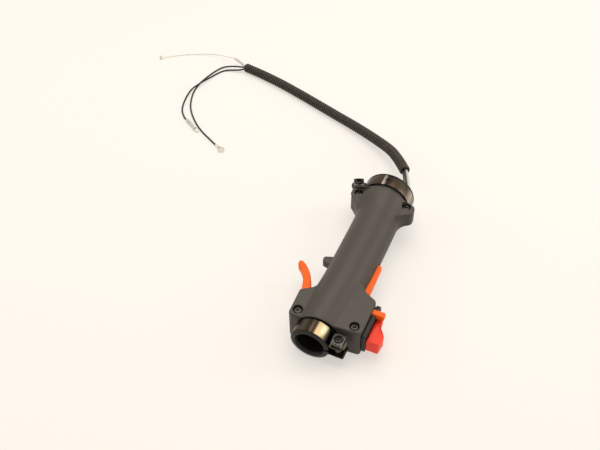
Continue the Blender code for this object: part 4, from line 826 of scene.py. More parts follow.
# %% Conduit
CREST, VALLEY, RIB_PITCH, CONDUIT_BORE = 5.6, 4.8, 3.1, 4.25
RIB_STEPS, SQUARENESS, VALLEY_SHARE = 8, 2.4, 0.35
THICK_COUNT, THIN_COUNT, CORD_CREASE = 28, 20, 60.0
rib_line = smooth_line(CONDUIT_ROUTE, RIB_PITCH / RIB_STEPS)
along = np.arange(len(rib_line)) / RIB_STEPS * 2 * math.pi
swing = np.tanh(SQUARENESS * (np.sin(along - math.pi / 2) - VALLEY_SHARE))
rib_radius = (CREST + VALLEY) / 2 + swing * (CREST - VALLEY) / 2
ribs = body_of(hollow(rib_line, rib_radius, CONDUIT_BORE, THICK_COUNT), wrap_rows=True)
conduit = add_piece("conduit", [ribs], "cord_black", "ribbed_conduit", place=on_table, look="rib_black",
                    crease=CORD_CREASE)

# %% [markdown]
# ## Casing, liner and throttle wire
# The casing is a smooth grey tube.  Inside the conduit it ends, and a clear liner goes on over the throttle
# wire, which is stranded: its section is a circle with seven shallow lobes that turn slowly along it.

# %% Cable
CASING_R, LINER_R, LINER_BORE, WIRE_R, CARB_R = 2.3, 1.7, 0.8, 1.0, 0.5
STRANDS, STRAND_LAY, LOBE = 7, 5.0, 0.09


def stranded(line, radius):
    """A twisted rope: the radius swings with the cosine of strands times the angle, by a lobe each way, and
    that pattern turns once in every lay along the line."""
    turn = np.arange(THICK_COUNT) * 2 * math.pi / THICK_COUNT
    far = np.arange(len(line))[:, None] * (length_of(line) / (len(line) - 1)) / STRAND_LAY * 2 * math.pi
    swell = radius * (1.0 - LOBE + LOBE * np.cos(STRANDS * (turn - far)))
    return carried(line, np.stack((swell * np.cos(turn), swell * np.sin(turn)), -1))


def declared_cord(name, body, slot, node):
    """Makes a cord's piece from its body, in place of the cord's solid."""
    piece = add_piece(name, [body], slot, node, place=on_table, crease=CORD_CREASE)


declared_cord("casing", body_of(carried(casing_line, circle(CASING_R, THICK_COUNT))),
              "casing_grey", "cable_casing")
liner_skin = hollow(liner_line, LINER_R, LINER_BORE, THIN_COUNT)
declared_cord("liner", body_of(liner_skin, wrap_rows=True), "clear_tube", "cable_liner")

# %% [markdown]
# ## What the cords end in
# The throttle wire ends in a small barrel that hooks into the carburettor.  The earth wire ends in a crimped
# ring, the coil wire in a bullet with a clear sleeve.  Barrel and bullet are turned: a radius that changes
# along a short straight line.  The ring is a pinched tube, a flat neck and a turned eye.

# %% Ends
BARREL = ((-2.0, 0.7), (-1.95, 1.6), (-1.6, 2.0), (1.6, 2.0), (1.95, 1.6), (2.0, 0.7))
BULLET = ((0.0, 1.0), (0.2, 1.2), (6.0, 1.2), (6.5, 0.95), (7.5, 0.95), (8.0, 1.2), (22.2, 1.2), (23.0, 1.8),
          (23.6, 1.8), (25.4, 1.6), (26.4, 1.2), (27.0, 0.4))
NECK = np.array(((5.0, -1.2), (8.4, -2.2), (8.4, 2.2), (5.0, 1.2)))
BARREL_CLEAR, RING_HEIGHT, BULLET_HEIGHT, METAL_CREASE = 2.3, 1.8, 2.4, 30.0
CRIMP_R, CRIMP_SPAN, CRIMP_ROWS, CRIMP_COUNT = 1.7, (0.3, 6.3), 25, 36
SEAM, SEAM_WIDTH, WAIST, WAIST_WIDTH = 0.45, 0.35, 0.10, 0.22
EYE_REACH, EYE_HOLE, EYE_R, EYE_HALF, EYE_BEVEL, NECK_SHARE = 10.0, 2.2, 4.0, 0.4, 0.1, 0.8
COVER_SPAN, COVER_ROWS, COVER_R, COVER_BORE = (3.0, 21.0), 46, 2.1, 1.5


def spun(start, direction, profile):
    """A turned body along any direction: a ring for each (length, radius) of the profile."""
    lengths, radii = np.asarray(profile, float).T
    line = start + lengths[:, None] * direction
    return body_of(carried(line, radii[:, None, None] * circle(1.0, THICK_COUNT)))


def level_end(line):
    """A cord's last point and the level direction in which it ends."""
    along = (line[-1] - line[-3]) * (1.0, 1.0, 0.0)
    return line[-1], unit(along)


def bell(values, middle, width):
    """A bump that is 1 at its middle: e to minus the square of the distance over the width."""
    return np.exp(-((values - middle) / width) ** 2)


tail = unit(carb_line[-1] - carb_line[-3])
barrel_axis = unit(np.array((-tail[1], tail[0], 0.0)))
barrel_middle = carb_line[-1] + tail * BARREL_CLEAR
barrel_middle[2] = max(barrel_middle[2], BARREL_CLEAR)
nipple = add_piece("carburettor_barrel", [spun(barrel_middle, barrel_axis, BARREL)], "bright_steel",
                   "carburettor_nipple", place=on_table, look="tinned_copper", crease=METAL_CREASE)
declared_cord("throttle_wire_free", body_of(stranded(carb_line, CARB_R)), "bright_steel",
              "carburettor_wire")

ring_end, ring_along = level_end(earth_line)
ring_across = np.array((-ring_along[1], ring_along[0], 0.0))
crimp_start = np.array((*ring_end[:2], RING_HEIGHT))
turn = np.arange(CRIMP_COUNT) * 2 * math.pi / CRIMP_COUNT
pinch = CRIMP_R - SEAM * bell(turn, math.pi / 2, SEAM_WIDTH)
waist = 1.0 - WAIST * bell(np.linspace(0.0, 1.0, CRIMP_ROWS), 0.5, WAIST_WIDTH)[:, None, None]
crimp_line = crimp_start + np.linspace(*CRIMP_SPAN, CRIMP_ROWS)[:, None] * ring_along
crimp = body_of(carried(crimp_line, waist * np.stack((pinch * np.cos(turn), pinch * np.sin(turn)), -1)))
eye_middle = crimp_start + ring_along * EYE_REACH
half_rim = EYE_HALF - EYE_BEVEL
eye = turned(((EYE_HOLE, -half_rim), (EYE_HOLE + EYE_BEVEL, -EYE_HALF), (EYE_R - EYE_BEVEL, -EYE_HALF),
              (EYE_R, -half_rim), (EYE_R, half_rim), (EYE_R - EYE_BEVEL, EYE_HALF),
              (EYE_HOLE + EYE_BEVEL, EYE_HALF), (EYE_HOLE, half_rim)), "z", eye_middle, count=64)
neck_plan = (crimp_start + NECK[:, :1] * ring_along + NECK[:, 1:] * ring_across)[:, :2]
neck = moulded(neck_plan, RING_HEIGHT - NECK_SHARE * EYE_HALF, RING_HEIGHT + NECK_SHARE * EYE_HALF, EYE_BEVEL)
ring = add_piece("ring_end", [crimp, eye, neck], "tinned_copper", "ring_terminal", place=on_table,
                 crease=METAL_CREASE)
declared_cord("earth_wire", body_of(carried(earth_line, circle(WIRE_R, THIN_COUNT))),
              "cord_black", "stop_wire_earth")

bullet_end, bullet_along = level_end(coil_line)
bullet_start = np.array((*bullet_end[:2], BULLET_HEIGHT)) + bullet_along * CORD_GAP
bullet = add_piece("bullet_end", [spun(bullet_start, bullet_along, BULLET)], "tinned_copper",
                   "bullet_terminal", place=on_table, crease=METAL_CREASE)
cover_line = bullet_start + np.linspace(*COVER_SPAN, COVER_ROWS)[:, None] * bullet_along
cover_skin = hollow(cover_line, COVER_R, COVER_BORE, THICK_COUNT)
cover = add_piece("bullet_cover", [body_of(cover_skin, wrap_rows=True)], "clear_tube", "bullet_sleeve",
                  place=on_table)
declared_cord("coil_wire", body_of(carried(coil_line, circle(WIRE_R, THIN_COUNT))),
              "cord_black", "stop_wire_coil")

# %% [markdown]
# ## The two half shells
# The housing is the form to get right: a round handle that runs forward as a hump through a flat head, and
# backward through a flare into two ears.  On the real moulding these flow into each other with soft fillets.
# Joining blocks would leave hard creases, so the form is written as one function that is negative inside
# and positive outside, in which the parts are joined by a smooth minimum.  Seen from the shaft's axis every
# direction meets the surface once, so the skin is a radius over angle and station: two parameters on a grid.

# %% Parts of the form
HEAD_TOP, HEAD_DEPTH, HEAD_EDGE, HEAD_FILLET = 13.5, 18.2, 1.8, 1.5
FRONT_LEFT, FRONT_SLOPE, FRONT_EDGE = 15.38, 5.0 / 63.2, 1.2
HANDLE_REAR, REAR_EDGE = 177.2, 0.7
HANDLE_LINE = smooth_line((
    (15.0, 0.0, 19.2), (42.0, 0.8, 19.6), (72.0, 2.6, 20.2), (109.6, 2.6, 20.6), (135.0, 2.3, 20.7),
    (151.0, 1.8, 20.9), (160.0, 1.0, 21.7), (167.0, 0.2, 23.2), (171.0, 0.0, 24.0),
    (180.0, 0.0, 24.0)), step=0.5)
HEAD_PLAN = rounded_outline((
    (-25.6, 13.4, 3.6), (38.2, 18.4, 3.0), (38.2, 55.5, 5.0), (27.2, 60.5, 6.0), (19.2, 69.4, 4.0),
    (0.0, 69.4, 0.0), (-12.0, 69.4, 3.0), (-15.4, 49.3, 12.0), (-27.0, 41.5, 3.0)), fineness=12)
EAR_X, EAR_Y, EAR_TOP, EAR_EDGE, EAR_FILLET = 24.0, 171.6, 12.6, 1.2, 6.0
EAR_ROOT, EAR_FRONT, LEFT_EAR_LOW, RIGHT_EAR_LOW = 9.8, 156.2, -6.4, -3.8
FLANGE_R, RIM_THICK, RIM_FILLET = 24.0, 1.1, 0.5
RIM_SIDE = np.cos(np.radians((111.9, 21.9)))
LEFT_EAR = rounded_outline((
    (-EAR_ROOT, EAR_FRONT, 0.0), (-EAR_ROOT, HANDLE_REAR, 0.0), (-32.6, HANDLE_REAR, 1.8),
    (-29.8, 165.2, 5.6), (-19.6, EAR_FRONT, 5.0)), fineness=10)
RIGHT_EAR = rounded_outline((
    (EAR_ROOT, EAR_FRONT, 0.0), (19.6, EAR_FRONT, 5.0), (32.6, 165.2, 5.6), (32.6, HANDLE_REAR, 7.4),
    (EAR_ROOT, HANDLE_REAR, 0.0)), fineness=10)


def smooth_least(one, two, width):
    """The smaller of two values, with the step between them rounded: where they differ by less than the
    width, it dips below both by up to a quarter of it."""
    near = np.maximum(width - np.abs(one - two), 0.0) / width
    return np.minimum(one, two) - near * near * width / 4


class PlanTable:
    """Distances from a flat outline, worked out once on a fine square grid: the least distance to any side,
    negative inside.  Reading it elsewhere weighs the four grid points round a place."""

    def __init__(self, outline, step=0.3, margin=14.0):
        self.low, self.step = outline.min(0) - margin, step
        shape = np.ceil((outline.max(0) + margin - self.low) / step).astype(int)
        x, y = np.meshgrid(*(self.low[k] + step * np.arange(shape[k]) for k in (0, 1)), indexing="ij")
        best, inside = np.full(x.shape, np.inf), np.zeros(x.shape, bool)
        for (ax, ay), (bx, by) in zip(outline, np.roll(outline, -1, 0)):
            ex, ey = bx - ax, by - ay
            share = np.clip(((x - ax) * ex + (y - ay) * ey) / (ex * ex + ey * ey), 0.0, 1.0)
            best = np.minimum(best, np.hypot(x - ax - share * ex, y - ay - share * ey))
            crosses = (ay > y) != (by > y)
            inside ^= crosses & (x < ax + (y - ay) * ex / (ey if ey else 1.0))
        self.table = np.where(inside, -best, best)

    def __call__(self, x, y):
        u = np.clip((x - self.low[0]) / self.step, 0.0, self.table.shape[0] - 1.001)
        v = np.clip((y - self.low[1]) / self.step, 0.0, self.table.shape[1] - 1.001)
        i, j = u.astype(int), v.astype(int)
        u, v = u - i, v - j
        t = self.table
        near, far = (t[i, k] * (1 - u) + t[i + 1, k] * u for k in (j, j + 1))
        return near * (1 - v) + far * v


def block_distance(plan, x, y, z, low, high, edge):
    """A flat outline with thickness and a rounded edge: the plan distance and the height past the faces are
    both moved in by the edge, joined as the two sides of a right angle, and moved out again."""
    across, over = plan(x, y) + edge, np.maximum(z - high, low - z) + edge
    outside = np.hypot(np.maximum(across, 0.0), np.maximum(over, 0.0))
    return np.minimum(np.maximum(across, over), 0.0) + outside - edge


head_plan, left_ear, right_ear = PlanTable(HEAD_PLAN), PlanTable(LEFT_EAR), PlanTable(RIGHT_EAR)


def housing(x, y, z):
    """Signed distance from the outside of the housing: handle, head and ears joined by smooth minima, and at
    the rear a thin rim whose edge runs straight from the left ear up to the flange."""
    middle, radius = (np.interp(y, HANDLE_LINE[:, 0], HANDLE_LINE[:, k]) for k in (1, 2))
    front = FRONT_LEFT + FRONT_SLOPE * x - y
    handle = -smooth_least(radius - np.hypot(x - middle, z), -front, FRONT_EDGE)
    head = block_distance(head_plan, x, y, z, -HEAD_DEPTH, HEAD_TOP, HEAD_EDGE)
    form = smooth_least(handle, head, HEAD_FILLET)
    for plan, low in ((left_ear, LEFT_EAR_LOW), (right_ear, RIGHT_EAR_LOW)):
        form = smooth_least(form, block_distance(plan, x, y, z, low, EAR_TOP, EAR_EDGE), EAR_FILLET)
    rim = np.maximum(RIM_SIDE[0] * x + RIM_SIDE[1] * z - FLANGE_R, HANDLE_REAR - RIM_THICK - y)
    rim = np.maximum(rim, np.maximum(np.maximum(x - FLANGE_R * RIM_SIDE[0], LEFT_EAR[:, 0].min() - x), -z))
    return -smooth_least(-smooth_least(form, rim, RIM_FILLET), HANDLE_REAR - y, REAR_EDGE)


print("housing at the axis:", round(float(housing(np.array(0.0), np.array(90.0), np.array(0.0))), 2), "mm")

# %% [markdown]
# ## From the form to a skin
# For every angle and station the radius is found by halving an interval until it pins the surface.  A
# second pass two millimetres deeper gives the inner wall.  Rows follow the slanted front edge, and each row
# is spaced evenly along its own length, so corners get as many points as flats.

# %% Skins
FRONT_HOLE, REAR_HOLE, WALL, END_WALL, SPLIT = 17.8, 19.7, 2.1, 3.2, 0.16
FRONT_ROUND, REAR_ROUND, FINE_STEP, LONG_STEP, HEAD_END, FLARE_START = 1.8, 1.4, 0.65, 2.0, 76.0, 146.0
LEAN_END, LEAN_RUN, EASE_ANGLES = 36.0, 20.0, (0.25, math.pi / 2, 7)
SKIN_LOW, SKIN_HIGH, HALVINGS = 6.0, 62.0, 24
SPLIT_ANGLE, ANGLES, SECTION_POINTS, FACE_STEPS, SHELL_CREASE = 0.004, 760, 170, 5, 50.0
ease = 1.0 - np.cos(np.linspace(*EASE_ANGLES))
STATIONS = np.concatenate((
    FRONT_LEFT + FRONT_ROUND * ease[:-1], np.arange(FRONT_LEFT + FRONT_ROUND, HEAD_END, FINE_STEP),
    np.arange(HEAD_END, FLARE_START, LONG_STEP), np.arange(FLARE_START, HANDLE_REAR - REAR_ROUND, FINE_STEP),
    HANDLE_REAR - REAR_ROUND * ease[::-1]))


def find_radius(turn, along, depth):
    """The radius at which the housing's value equals minus depth, by halving an interval again and again;
    the station leans with the front edge and straightens out over the lean's run."""
    lean = FRONT_SLOPE * np.clip((LEAN_END - along) / LEAN_RUN, 0.0, 1.0)
    shape = np.broadcast_shapes(turn.shape, along.shape)
    low, high = np.full(shape, SKIN_LOW), np.full(shape, SKIN_HIGH)
    for _ in range(HALVINGS):
        middle = (low + high) / 2
        x = middle * np.cos(turn)
        inside = housing(x, along + lean * x, middle * np.sin(turn)) < -depth
        low, high = np.where(inside, middle, low), np.where(inside, high, middle)
    return low, lean


def skin_rows(side, along, depth):
    """Sections of the skin, one per station, each spaced evenly over its length from split to split."""
    turn = side * np.linspace(SPLIT_ANGLE, math.pi - SPLIT_ANGLE, ANGLES)[None]
    radius, lean = find_radius(turn, along[:, None], depth)
    x = radius * np.cos(turn)
    section = np.stack((x, along[:, None] + lean * x, radius * np.sin(turn)), -1)
    rows = np.stack([evenly(row, length_of(row) / (SECTION_POINTS - 1)) for row in section])
    rows[:, (0, -1), 2] = side * SPLIT
    return rows


def towards_hole(row, hole, shares):
    """Rows of an end face: each point of a section moved towards a circle of the hole's radius, by shares."""
    reach = np.hypot(row[:, 0], row[:, 2])
    flat = row[None].repeat(len(shares), 0)
    scale = 1.0 + (hole / reach - 1.0) * np.asarray(shares)[:, None]
    flat[..., 0] *= scale
    flat[..., 2] *= scale
    return flat


def half_shell(side):
    """One half as a closed body: outer skin with its end faces, inner skin with its own, and a strip all
    round."""
    ends = STATIONS[[0, -1]]
    inside = np.interp(STATIONS, ends, ends + (END_WALL, -END_WALL))
    steps = np.linspace(1.0, 0.0, FACE_STEPS)[:-1]
    skins = []
    for along, depth in ((STATIONS, 0.0), (inside, WALL)):
        skin = skin_rows(side, along, depth)
        front, rear = towards_hole(skin[0], FRONT_HOLE, steps), towards_hole(skin[-1], REAR_HOLE, steps[::-1])
        skins.append(np.concatenate((front, skin, rear)))
    rows, cols = skins[0].shape[:2]
    quads = grid_quads(rows, cols)
    count = rows * cols
    rim = np.concatenate((np.arange(cols), np.arange(1, rows) * cols + cols - 1,
                          (rows - 1) * cols + np.arange(cols - 2, -1, -1), np.arange(rows - 2, 0, -1) * cols))
    strip = np.stack((rim, rim + count, np.roll(rim, -1) + count, np.roll(rim, -1)), -1)
    points = np.concatenate([skin.reshape(-1, 3) for skin in skins])
    return outwards(points, [quads, quads[:, ::-1] + count, strip])


upper = add_piece("upper_half", [half_shell(1)], "shell_plastic", "upper_shell", crease=SHELL_CREASE)
lower = add_piece("lower_half", [half_shell(-1)], "shell_plastic", "lower_shell", crease=SHELL_CREASE)

# %% [markdown]
# ## Openings in the shells
# Screw wells, the slots of the two levers and the holes of the stop switch go right through the skin, so they
# are cut with closed bodies: turned ones for the wells, with a small chamfer at the mouth, and flat outlines
# with thickness for the rest.  A thin cup under each well gives it walls and a floor.

# %% Openings
WELL_R, WELL_DEPTH, WELL_CHAMFER, WELL_CORE, WELL_ABOVE, MOUTH_LEVEL = 4.4, 3.7, 0.35, 0.4, 6.0, 0.02
CUP_WALL, CUP_FLOOR, CUP_TOP, CUP_OVERLAP, CUP_CORE = 0.8, 0.9, -0.6, 0.05, 0.2
TRIGGER_GAP, LEVER_GAP, CUT_CREASE = 5.6, 3.4, 35.0
TRIGGER_SLOT = np.array((
    (-34.0, 36.0), (-22.0, 38.0), (-13.4, 40.0), (-13.4, 54.0), (-16.2, 68.0), (-34.0, 72.0)))
LEVER_SLOT = rounded_outline((
    (13.6, 55.4, 0.0), (24.4, 55.4, 3.0), (34.0, 60.6, 0.0), (34.0, 104.0, 0.0), (13.6, 104.0, 2.0)))
STEM_WINDOW, LATCH_WINDOW = ((29.4, -5.6), (40.6, 1.6)), ((43.2, 4.4), (49.6, 10.8))
HEAD_WALL = (31.0, 40.0)
SCREWS = {
    "front_left": (-19.4, 20.8, HEAD_TOP), "front_right": (30.4, 24.0, HEAD_TOP),
    "rear_left": (-EAR_X, EAR_Y, EAR_TOP), "rear_right": (EAR_X, EAR_Y, EAR_TOP)}


def box_outline(low, high, radius=0.3):
    """A rectangle between two corners, its own corners rounded."""
    (a, b), (c, d) = low, high
    return rounded_outline(((a, b, radius), (c, b, radius), (c, d, radius), (a, d, radius)), fineness=4)


def opening(outline, low, high, frame="z"):
    """A body with square edges to cut away: an outline between two levels."""
    return moulded(outline, low, high, 0.0, frame, fineness=2)


well_mouth = WELL_R + WELL_CHAMFER
well = ((WELL_CORE, -WELL_DEPTH), (WELL_R, -WELL_DEPTH), (WELL_R, -WELL_CHAMFER), (well_mouth, MOUTH_LEVEL),
        (well_mouth, WELL_ABOVE), (WELL_CORE, WELL_ABOVE))
cup_low, cup_outer, cup_inner = -WELL_DEPTH - CUP_FLOOR, WELL_R + CUP_WALL, WELL_R - CUP_OVERLAP
cup = ((CUP_CORE, cup_low), (cup_outer, cup_low), (cup_outer, CUP_TOP), (cup_inner, CUP_TOP),
       (cup_inner, -WELL_DEPTH), (CUP_CORE, -WELL_DEPTH))
slots = [opening(TRIGGER_SLOT, -TRIGGER_GAP, TRIGGER_GAP), opening(LEVER_SLOT, -LEVER_GAP, LEVER_GAP),
         opening(box_outline(*STEM_WINDOW), *HEAD_WALL, "x")]
wells = [turned(well, "z", place, count=48) for place in SCREWS.values()]
cut_away(upper, slots + [opening(box_outline(*LATCH_WINDOW), *HEAD_WALL, "x")] + wells, CUT_CREASE)
cut_away(lower, slots, CUT_CREASE)
add_piece("screw_wells", [turned(cup, "z", place, count=48) for place in SCREWS.values()], "shell_plastic",
          crease=CUT_CREASE)

# %% [markdown]
# ## Cable hook
# On the finger side of the lower half a short tab keeps the cable from slipping forward.

# %% Hook
HOOK_LOW, HOOK_HIGH, HOOK_EDGE = -9.0, -1.15, 1.1
tab = rounded_outline(((-13.6, 86.4, 0.0), (-26.2, 88.4, 3.0), (-28.0, 94.6, 3.0), (-13.6, 99.4, 0.0)))
add_piece("cable_hook", [moulded(tab, HOOK_LOW, HOOK_HIGH, HOOK_EDGE)], "shell_plastic", crease=SHELL_CREASE)

# %% [markdown]
# ## Screws and nuts
# A cross recess is a height, not a cut: over a disc of rings and spokes the head's dome is lowered wherever
# a point falls inside one of two crossed bars, with walls that lean a little.  Square nuts are rings of one
# square, drawn in towards the thread, whose top falls away outside a circle.

# %% Fastener shapes
RECESS_REACH, RECESS_HALF, RECESS_LEAN, SPOKES, SIDE_STEPS = 0.5, 0.15, 0.35, 96, 8
HEAD_SIDE, HEAD_DOME = 0.45, 0.55
HUB_SHARE, FLAT_SHARES, RIM_ANGLES = 0.02, (0.04, 0.62, 34), (0.72, math.pi / 2, 12)
THREAD_PITCH, THREAD_DEPTH, THREAD_CHAMFER, THREAD_STEPS = 1.0, 0.32, 0.5, 8
NUT_FOOT = ((0.97, 0.0), (1.0, 0.2))
NUT_CROWN = ((1.0, -0.35), (0.985, -0.1), *((scale, 0.0) for scale in (0.96, 0.92, 0.86, 0.8, 0.7, 0.62)))
NUT_CORNER, NUT_ROUND, NUT_FALL = 0.35, 0.47, 0.25


def turn_about_z(turn):
    """The matrix that turns rows of points about Z by an angle."""
    c, s = math.cos(turn), math.sin(turn)
    return np.array(((c, s, 0.0), (-s, c, 0.0), (0.0, 0.0, 1.0)))


def finer(outline):
    """The same outline with each of its sides divided into equal steps."""
    along = np.linspace(0.0, 1.0, SIDE_STEPS + 1)[:-1, None]
    return (outline[:, None] * (1 - along) + np.roll(outline, -1, 0)[:, None] * along).reshape(-1, 2)


def cross_depth(x, y, reach, half_width):
    """How deep a cross recess is at a place, 0 to 1: the larger share of two bars, each rising from its rim
    over a leaning wall."""
    bars = [np.minimum(half_width - np.abs(b), reach - np.abs(a)) for a, b in ((x, y), (y, x))]
    return np.clip(np.maximum(*bars) / RECESS_LEAN, 0.0, 1.0)


def pan_head(centre, radius, seat, top, turn, sink):
    """A screw head seen from above: a cylinder, and a dome as high as the root of 1 minus the fourth power
    of the radius share, with a cross sunk into it."""
    rounding = np.sin(np.linspace(*RIM_ANGLES))
    share = np.concatenate(([HUB_SHARE], np.linspace(*FLAT_SHARES), rounding))[:, None]
    spoke = np.linspace(0.0, 2 * math.pi, SPOKES + 1)[None, :-1]
    x, y = radius * share * np.cos(spoke), radius * share * np.sin(spoke)
    dome = np.sqrt(np.maximum(1.0 - share ** 4, 0.0))
    height = seat + HEAD_SIDE * (top - seat) + HEAD_DOME * (top - seat) * dome
    height = height - sink * cross_depth(x, y, RECESS_REACH * radius, RECESS_HALF * radius)
    disc = np.stack((x, y, height), -1)
    skirt = disc[-1:].copy()
    skirt[..., 2] = seat
    return body_of(np.concatenate((disc, skirt)) @ turn_about_z(turn) + np.asarray(centre, float))


def threaded(centre, radius, low, high):
    """A threaded rod: rings whose radius swings between crest and root once every pitch, drawn in at both
    ends."""
    height = np.linspace(low, high, round((high - low) / THREAD_PITCH * THREAD_STEPS) + 1)
    radii = radius - THREAD_DEPTH / 2 + THREAD_DEPTH / 2 * np.cos(2 * math.pi * height / THREAD_PITCH)
    radii = np.minimum(radii, radius - THREAD_CHAMFER + np.minimum(height - low, high - height))
    return turned(np.stack((radii, height), -1), "z", (*centre, 0.0), count=40)


def square_nut(centre, side, low, high, turn):
    """A square nut: one rounded square at many scales and levels; outside a circle its top falls by a
    quarter of the way."""
    square = finer(box_outline((-side / 2, -side / 2), (side / 2, side / 2), NUT_CORNER))
    rings = np.vstack((np.add(NUT_FOOT, (0.0, low)), np.add(NUT_CROWN, (0.0, high))))
    ring = rings[:, :1, None] * square
    fall = NUT_FALL * np.maximum(np.linalg.norm(ring, axis=-1) - NUT_ROUND * side, 0.0)
    fall[: len(NUT_FOOT)] = 0.0
    level = rings[:, 1:] - fall
    grid = np.concatenate((ring, level[..., None]), -1)
    return body_of(grid @ turn_about_z(turn) + np.array((*centre, 0.0)))


# %% Shell screws
SCREW_TURNS, SCREW_ENDS = (0.45, 1.0, 0.2, 0.75), (-25.0, -25.0, -15.5, -15.5)
SCREW_R, SCREW_SEAT, SCREW_SUNK, SCREW_SINK = 3.5, 3.4, 0.8, 1.3
SHANK_R, SHANK_TOP, SHANK_CORE, POINT_R, POINT_LENGTH = 1.9, -2.9, 0.3, 1.0, 2.5
SCREW_CREASE, NUT_CREASE = 28.0, 25.0
for (label, (x, y, top)), turn, end in zip(SCREWS.items(), SCREW_TURNS, SCREW_ENDS):
    head = pan_head((x, y, 0.0), SCREW_R, top - SCREW_SEAT, top - SCREW_SUNK, turn, SCREW_SINK)
    shank = turned(((SHANK_CORE, end), (POINT_R, end), (SHANK_R, end + POINT_LENGTH), (SHANK_R, SHANK_TOP),
                    (SHANK_CORE, SHANK_TOP)), "z", (x, y, top), count=32)
    add_piece("screw_" + label, [head, shank], "plated_steel", "shell_screw_" + label, crease=SCREW_CREASE)

# %% [markdown]
# ## Sleeves
# Rubber sleeves line both clamps.  They are turned with soft rims; a slit lets the bands close them on the
# tube, so each is a part turn with two flat ends.  The rear one has a thick collar that the cable and wires
# leave through, and a peg that holds its band.

# %% Sleeves
BORE, FRONT_R, FRONT_END, FRONT_LIP_R, FRONT_LIP_END = 12.1, 16.0, 26.0, 17.2, 1.4
COLLAR_R, COLLAR_START, SPIGOT_R, REAR_START, GRIP_LENGTH = 23.2, 177.5, 19.4, 160.0, 195.0
REAR_LIP_R, REAR_LIP_START, BAND_MIDDLE = 24.9, GRIP_LENGTH - 1.4, 186.8
FINGER_SIDE, PALM_SIDE = -math.pi / 2, math.pi / 2
SLIT, RIM_FINENESS, FRONT_SLIT_R, REAR_SLIT_R, RUBBER_CREASE = 2.4, 6, 14.6, 18.0, 35.0
CASING_HOLE, WIRE_HOLE, HOLE_CORE, HOLE_SPAN = 2.9, 1.6, 0.1, (150.0, 200.0)
FRONT_PROFILE = (
    (BORE, 2.6, 1.2), (13.6, 0.0, 0.5), (FRONT_LIP_R, 1.0, 0.2), (FRONT_LIP_R, FRONT_LIP_END, 0.12),
    (FRONT_R, FRONT_LIP_END, 0.2), (FRONT_R, FRONT_END, 0.6), (BORE, FRONT_END, 0.3))
REAR_PROFILE = (
    (BORE, REAR_START, 0.3), (SPIGOT_R, REAR_START, 0.6), (SPIGOT_R, COLLAR_START, 0.3),
    (COLLAR_R, COLLAR_START, 0.6), (COLLAR_R, REAR_LIP_START, 0.2), (REAR_LIP_R, REAR_LIP_START, 0.3),
    (REAR_LIP_R, GRIP_LENGTH, 0.65), (BORE, GRIP_LENGTH, 0.9))
PEG_PROFILE = (
    (0.1, 22.2), (2.0, 22.2), (2.0, 24.75), (3.0, 24.75), (2.9, 25.1), (2.3, 25.45), (1.7, 25.4), (1.5, 24.0),
    (0.1, 24.0))


def slit_ring(profile, side, radius):
    """A profile of (radius, height, rounding) turned all the way round but for a slit on one side; the
    slit's angle is its width over the radius."""
    half = SLIT / 2 / radius
    soft = rounded_outline(profile, RIM_FINENESS)
    return turned(soft, "y", (0.0, 0.0, 0.0), start=side + half, end=side + 2 * math.pi - half, count=120)


add_piece("front_rubber", [slit_ring(FRONT_PROFILE, PALM_SIDE, FRONT_SLIT_R)], "sleeve_rubber",
          "front_sleeve", crease=RUBBER_CREASE)
rear_rubber = add_piece("rear_rubber", [slit_ring(REAR_PROFILE, FINGER_SIDE, REAR_SLIT_R)], "sleeve_rubber",
                        "rear_sleeve", crease=RUBBER_CREASE)
exits = [turned(plain_ring(HOLE_CORE, radius, *HOLE_SPAN), "y", (x, 0.0, z), count=32) for (x, z), radius in (
    (CASING_EXIT, CASING_HOLE), (EARTH_EXIT, WIRE_HOLE), (COIL_EXIT, WIRE_HOLE))]
cut_away(rear_rubber, exits, RUBBER_CREASE)
peg = turned(PEG_PROFILE, "z", (0.0, BAND_MIDDLE, 0.0), count=40)
add_piece("rear_peg", [peg], "sleeve_rubber", crease=RUBBER_CREASE)

# %% [markdown]
# ## Clamp bands
# Each band is one strip of sheet: in along the upper lug, round the sleeve, and out along the lower lug.  Its
# path is drawn with sharp bends, then averaged over a short window, which bends it as a press would.  The
# strip narrows over the last millimetres of each lug, and that rounds the lug's end.

# %% Bands
BAND_THICK, BAND_HALF, LUG_LEVEL, LUG_LENGTH = 1.2, 6.5, 5.1, 12.4
STRIP_STEP, RING_POINTS, BEND_WINDOW, KEPT_ENDS, LEAST_HALF = 0.25, 240, 9, 4, 0.5
STRIP_SECTION = ((-0.5, -0.5, 0.24), (0.5, -0.5, 0.24), (0.5, 0.5, 0.24), (-0.5, 0.5, 0.24))
LUG_ROUND, BAND_CREASE, PEG_HOLE, PEG_SPAN = 6.2, 30.0, 2.3, (20.0, 28.0)
BOLT_REACH, BOLT_R, BOLT_SPAN, BOLT_HEAD = 5.3, 3.0, (-6.4, 12.1), (5.0, 6.25, 9.85, 0.3, 1.8)
NUT_SIDE, NUT_SPAN = 10.0, (6.2, 11.2)


def strip_path(radius):
    """Lug, ring and lug as points (x, z) at even steps, each the mean over a window of steps."""
    middle, tip = radius + BAND_THICK / 2, radius + BAND_THICK + LUG_LENGTH
    open_angle = math.asin(LUG_LEVEL / middle)
    turn = np.linspace(open_angle, 2 * math.pi - open_angle, RING_POINTS)
    ring = middle * np.stack((np.cos(turn), np.sin(turn)), -1)
    path = evenly(np.vstack(((tip, LUG_LEVEL), ring, (tip, -LUG_LEVEL))), STRIP_STEP)
    window = np.ones(BEND_WINDOW) / BEND_WINDOW
    inner = np.stack([np.convolve(path[:, k], window, "valid") for k in (0, 1)], -1)
    return np.vstack((path[:KEPT_ENDS], inner, path[-KEPT_ENDS:]))


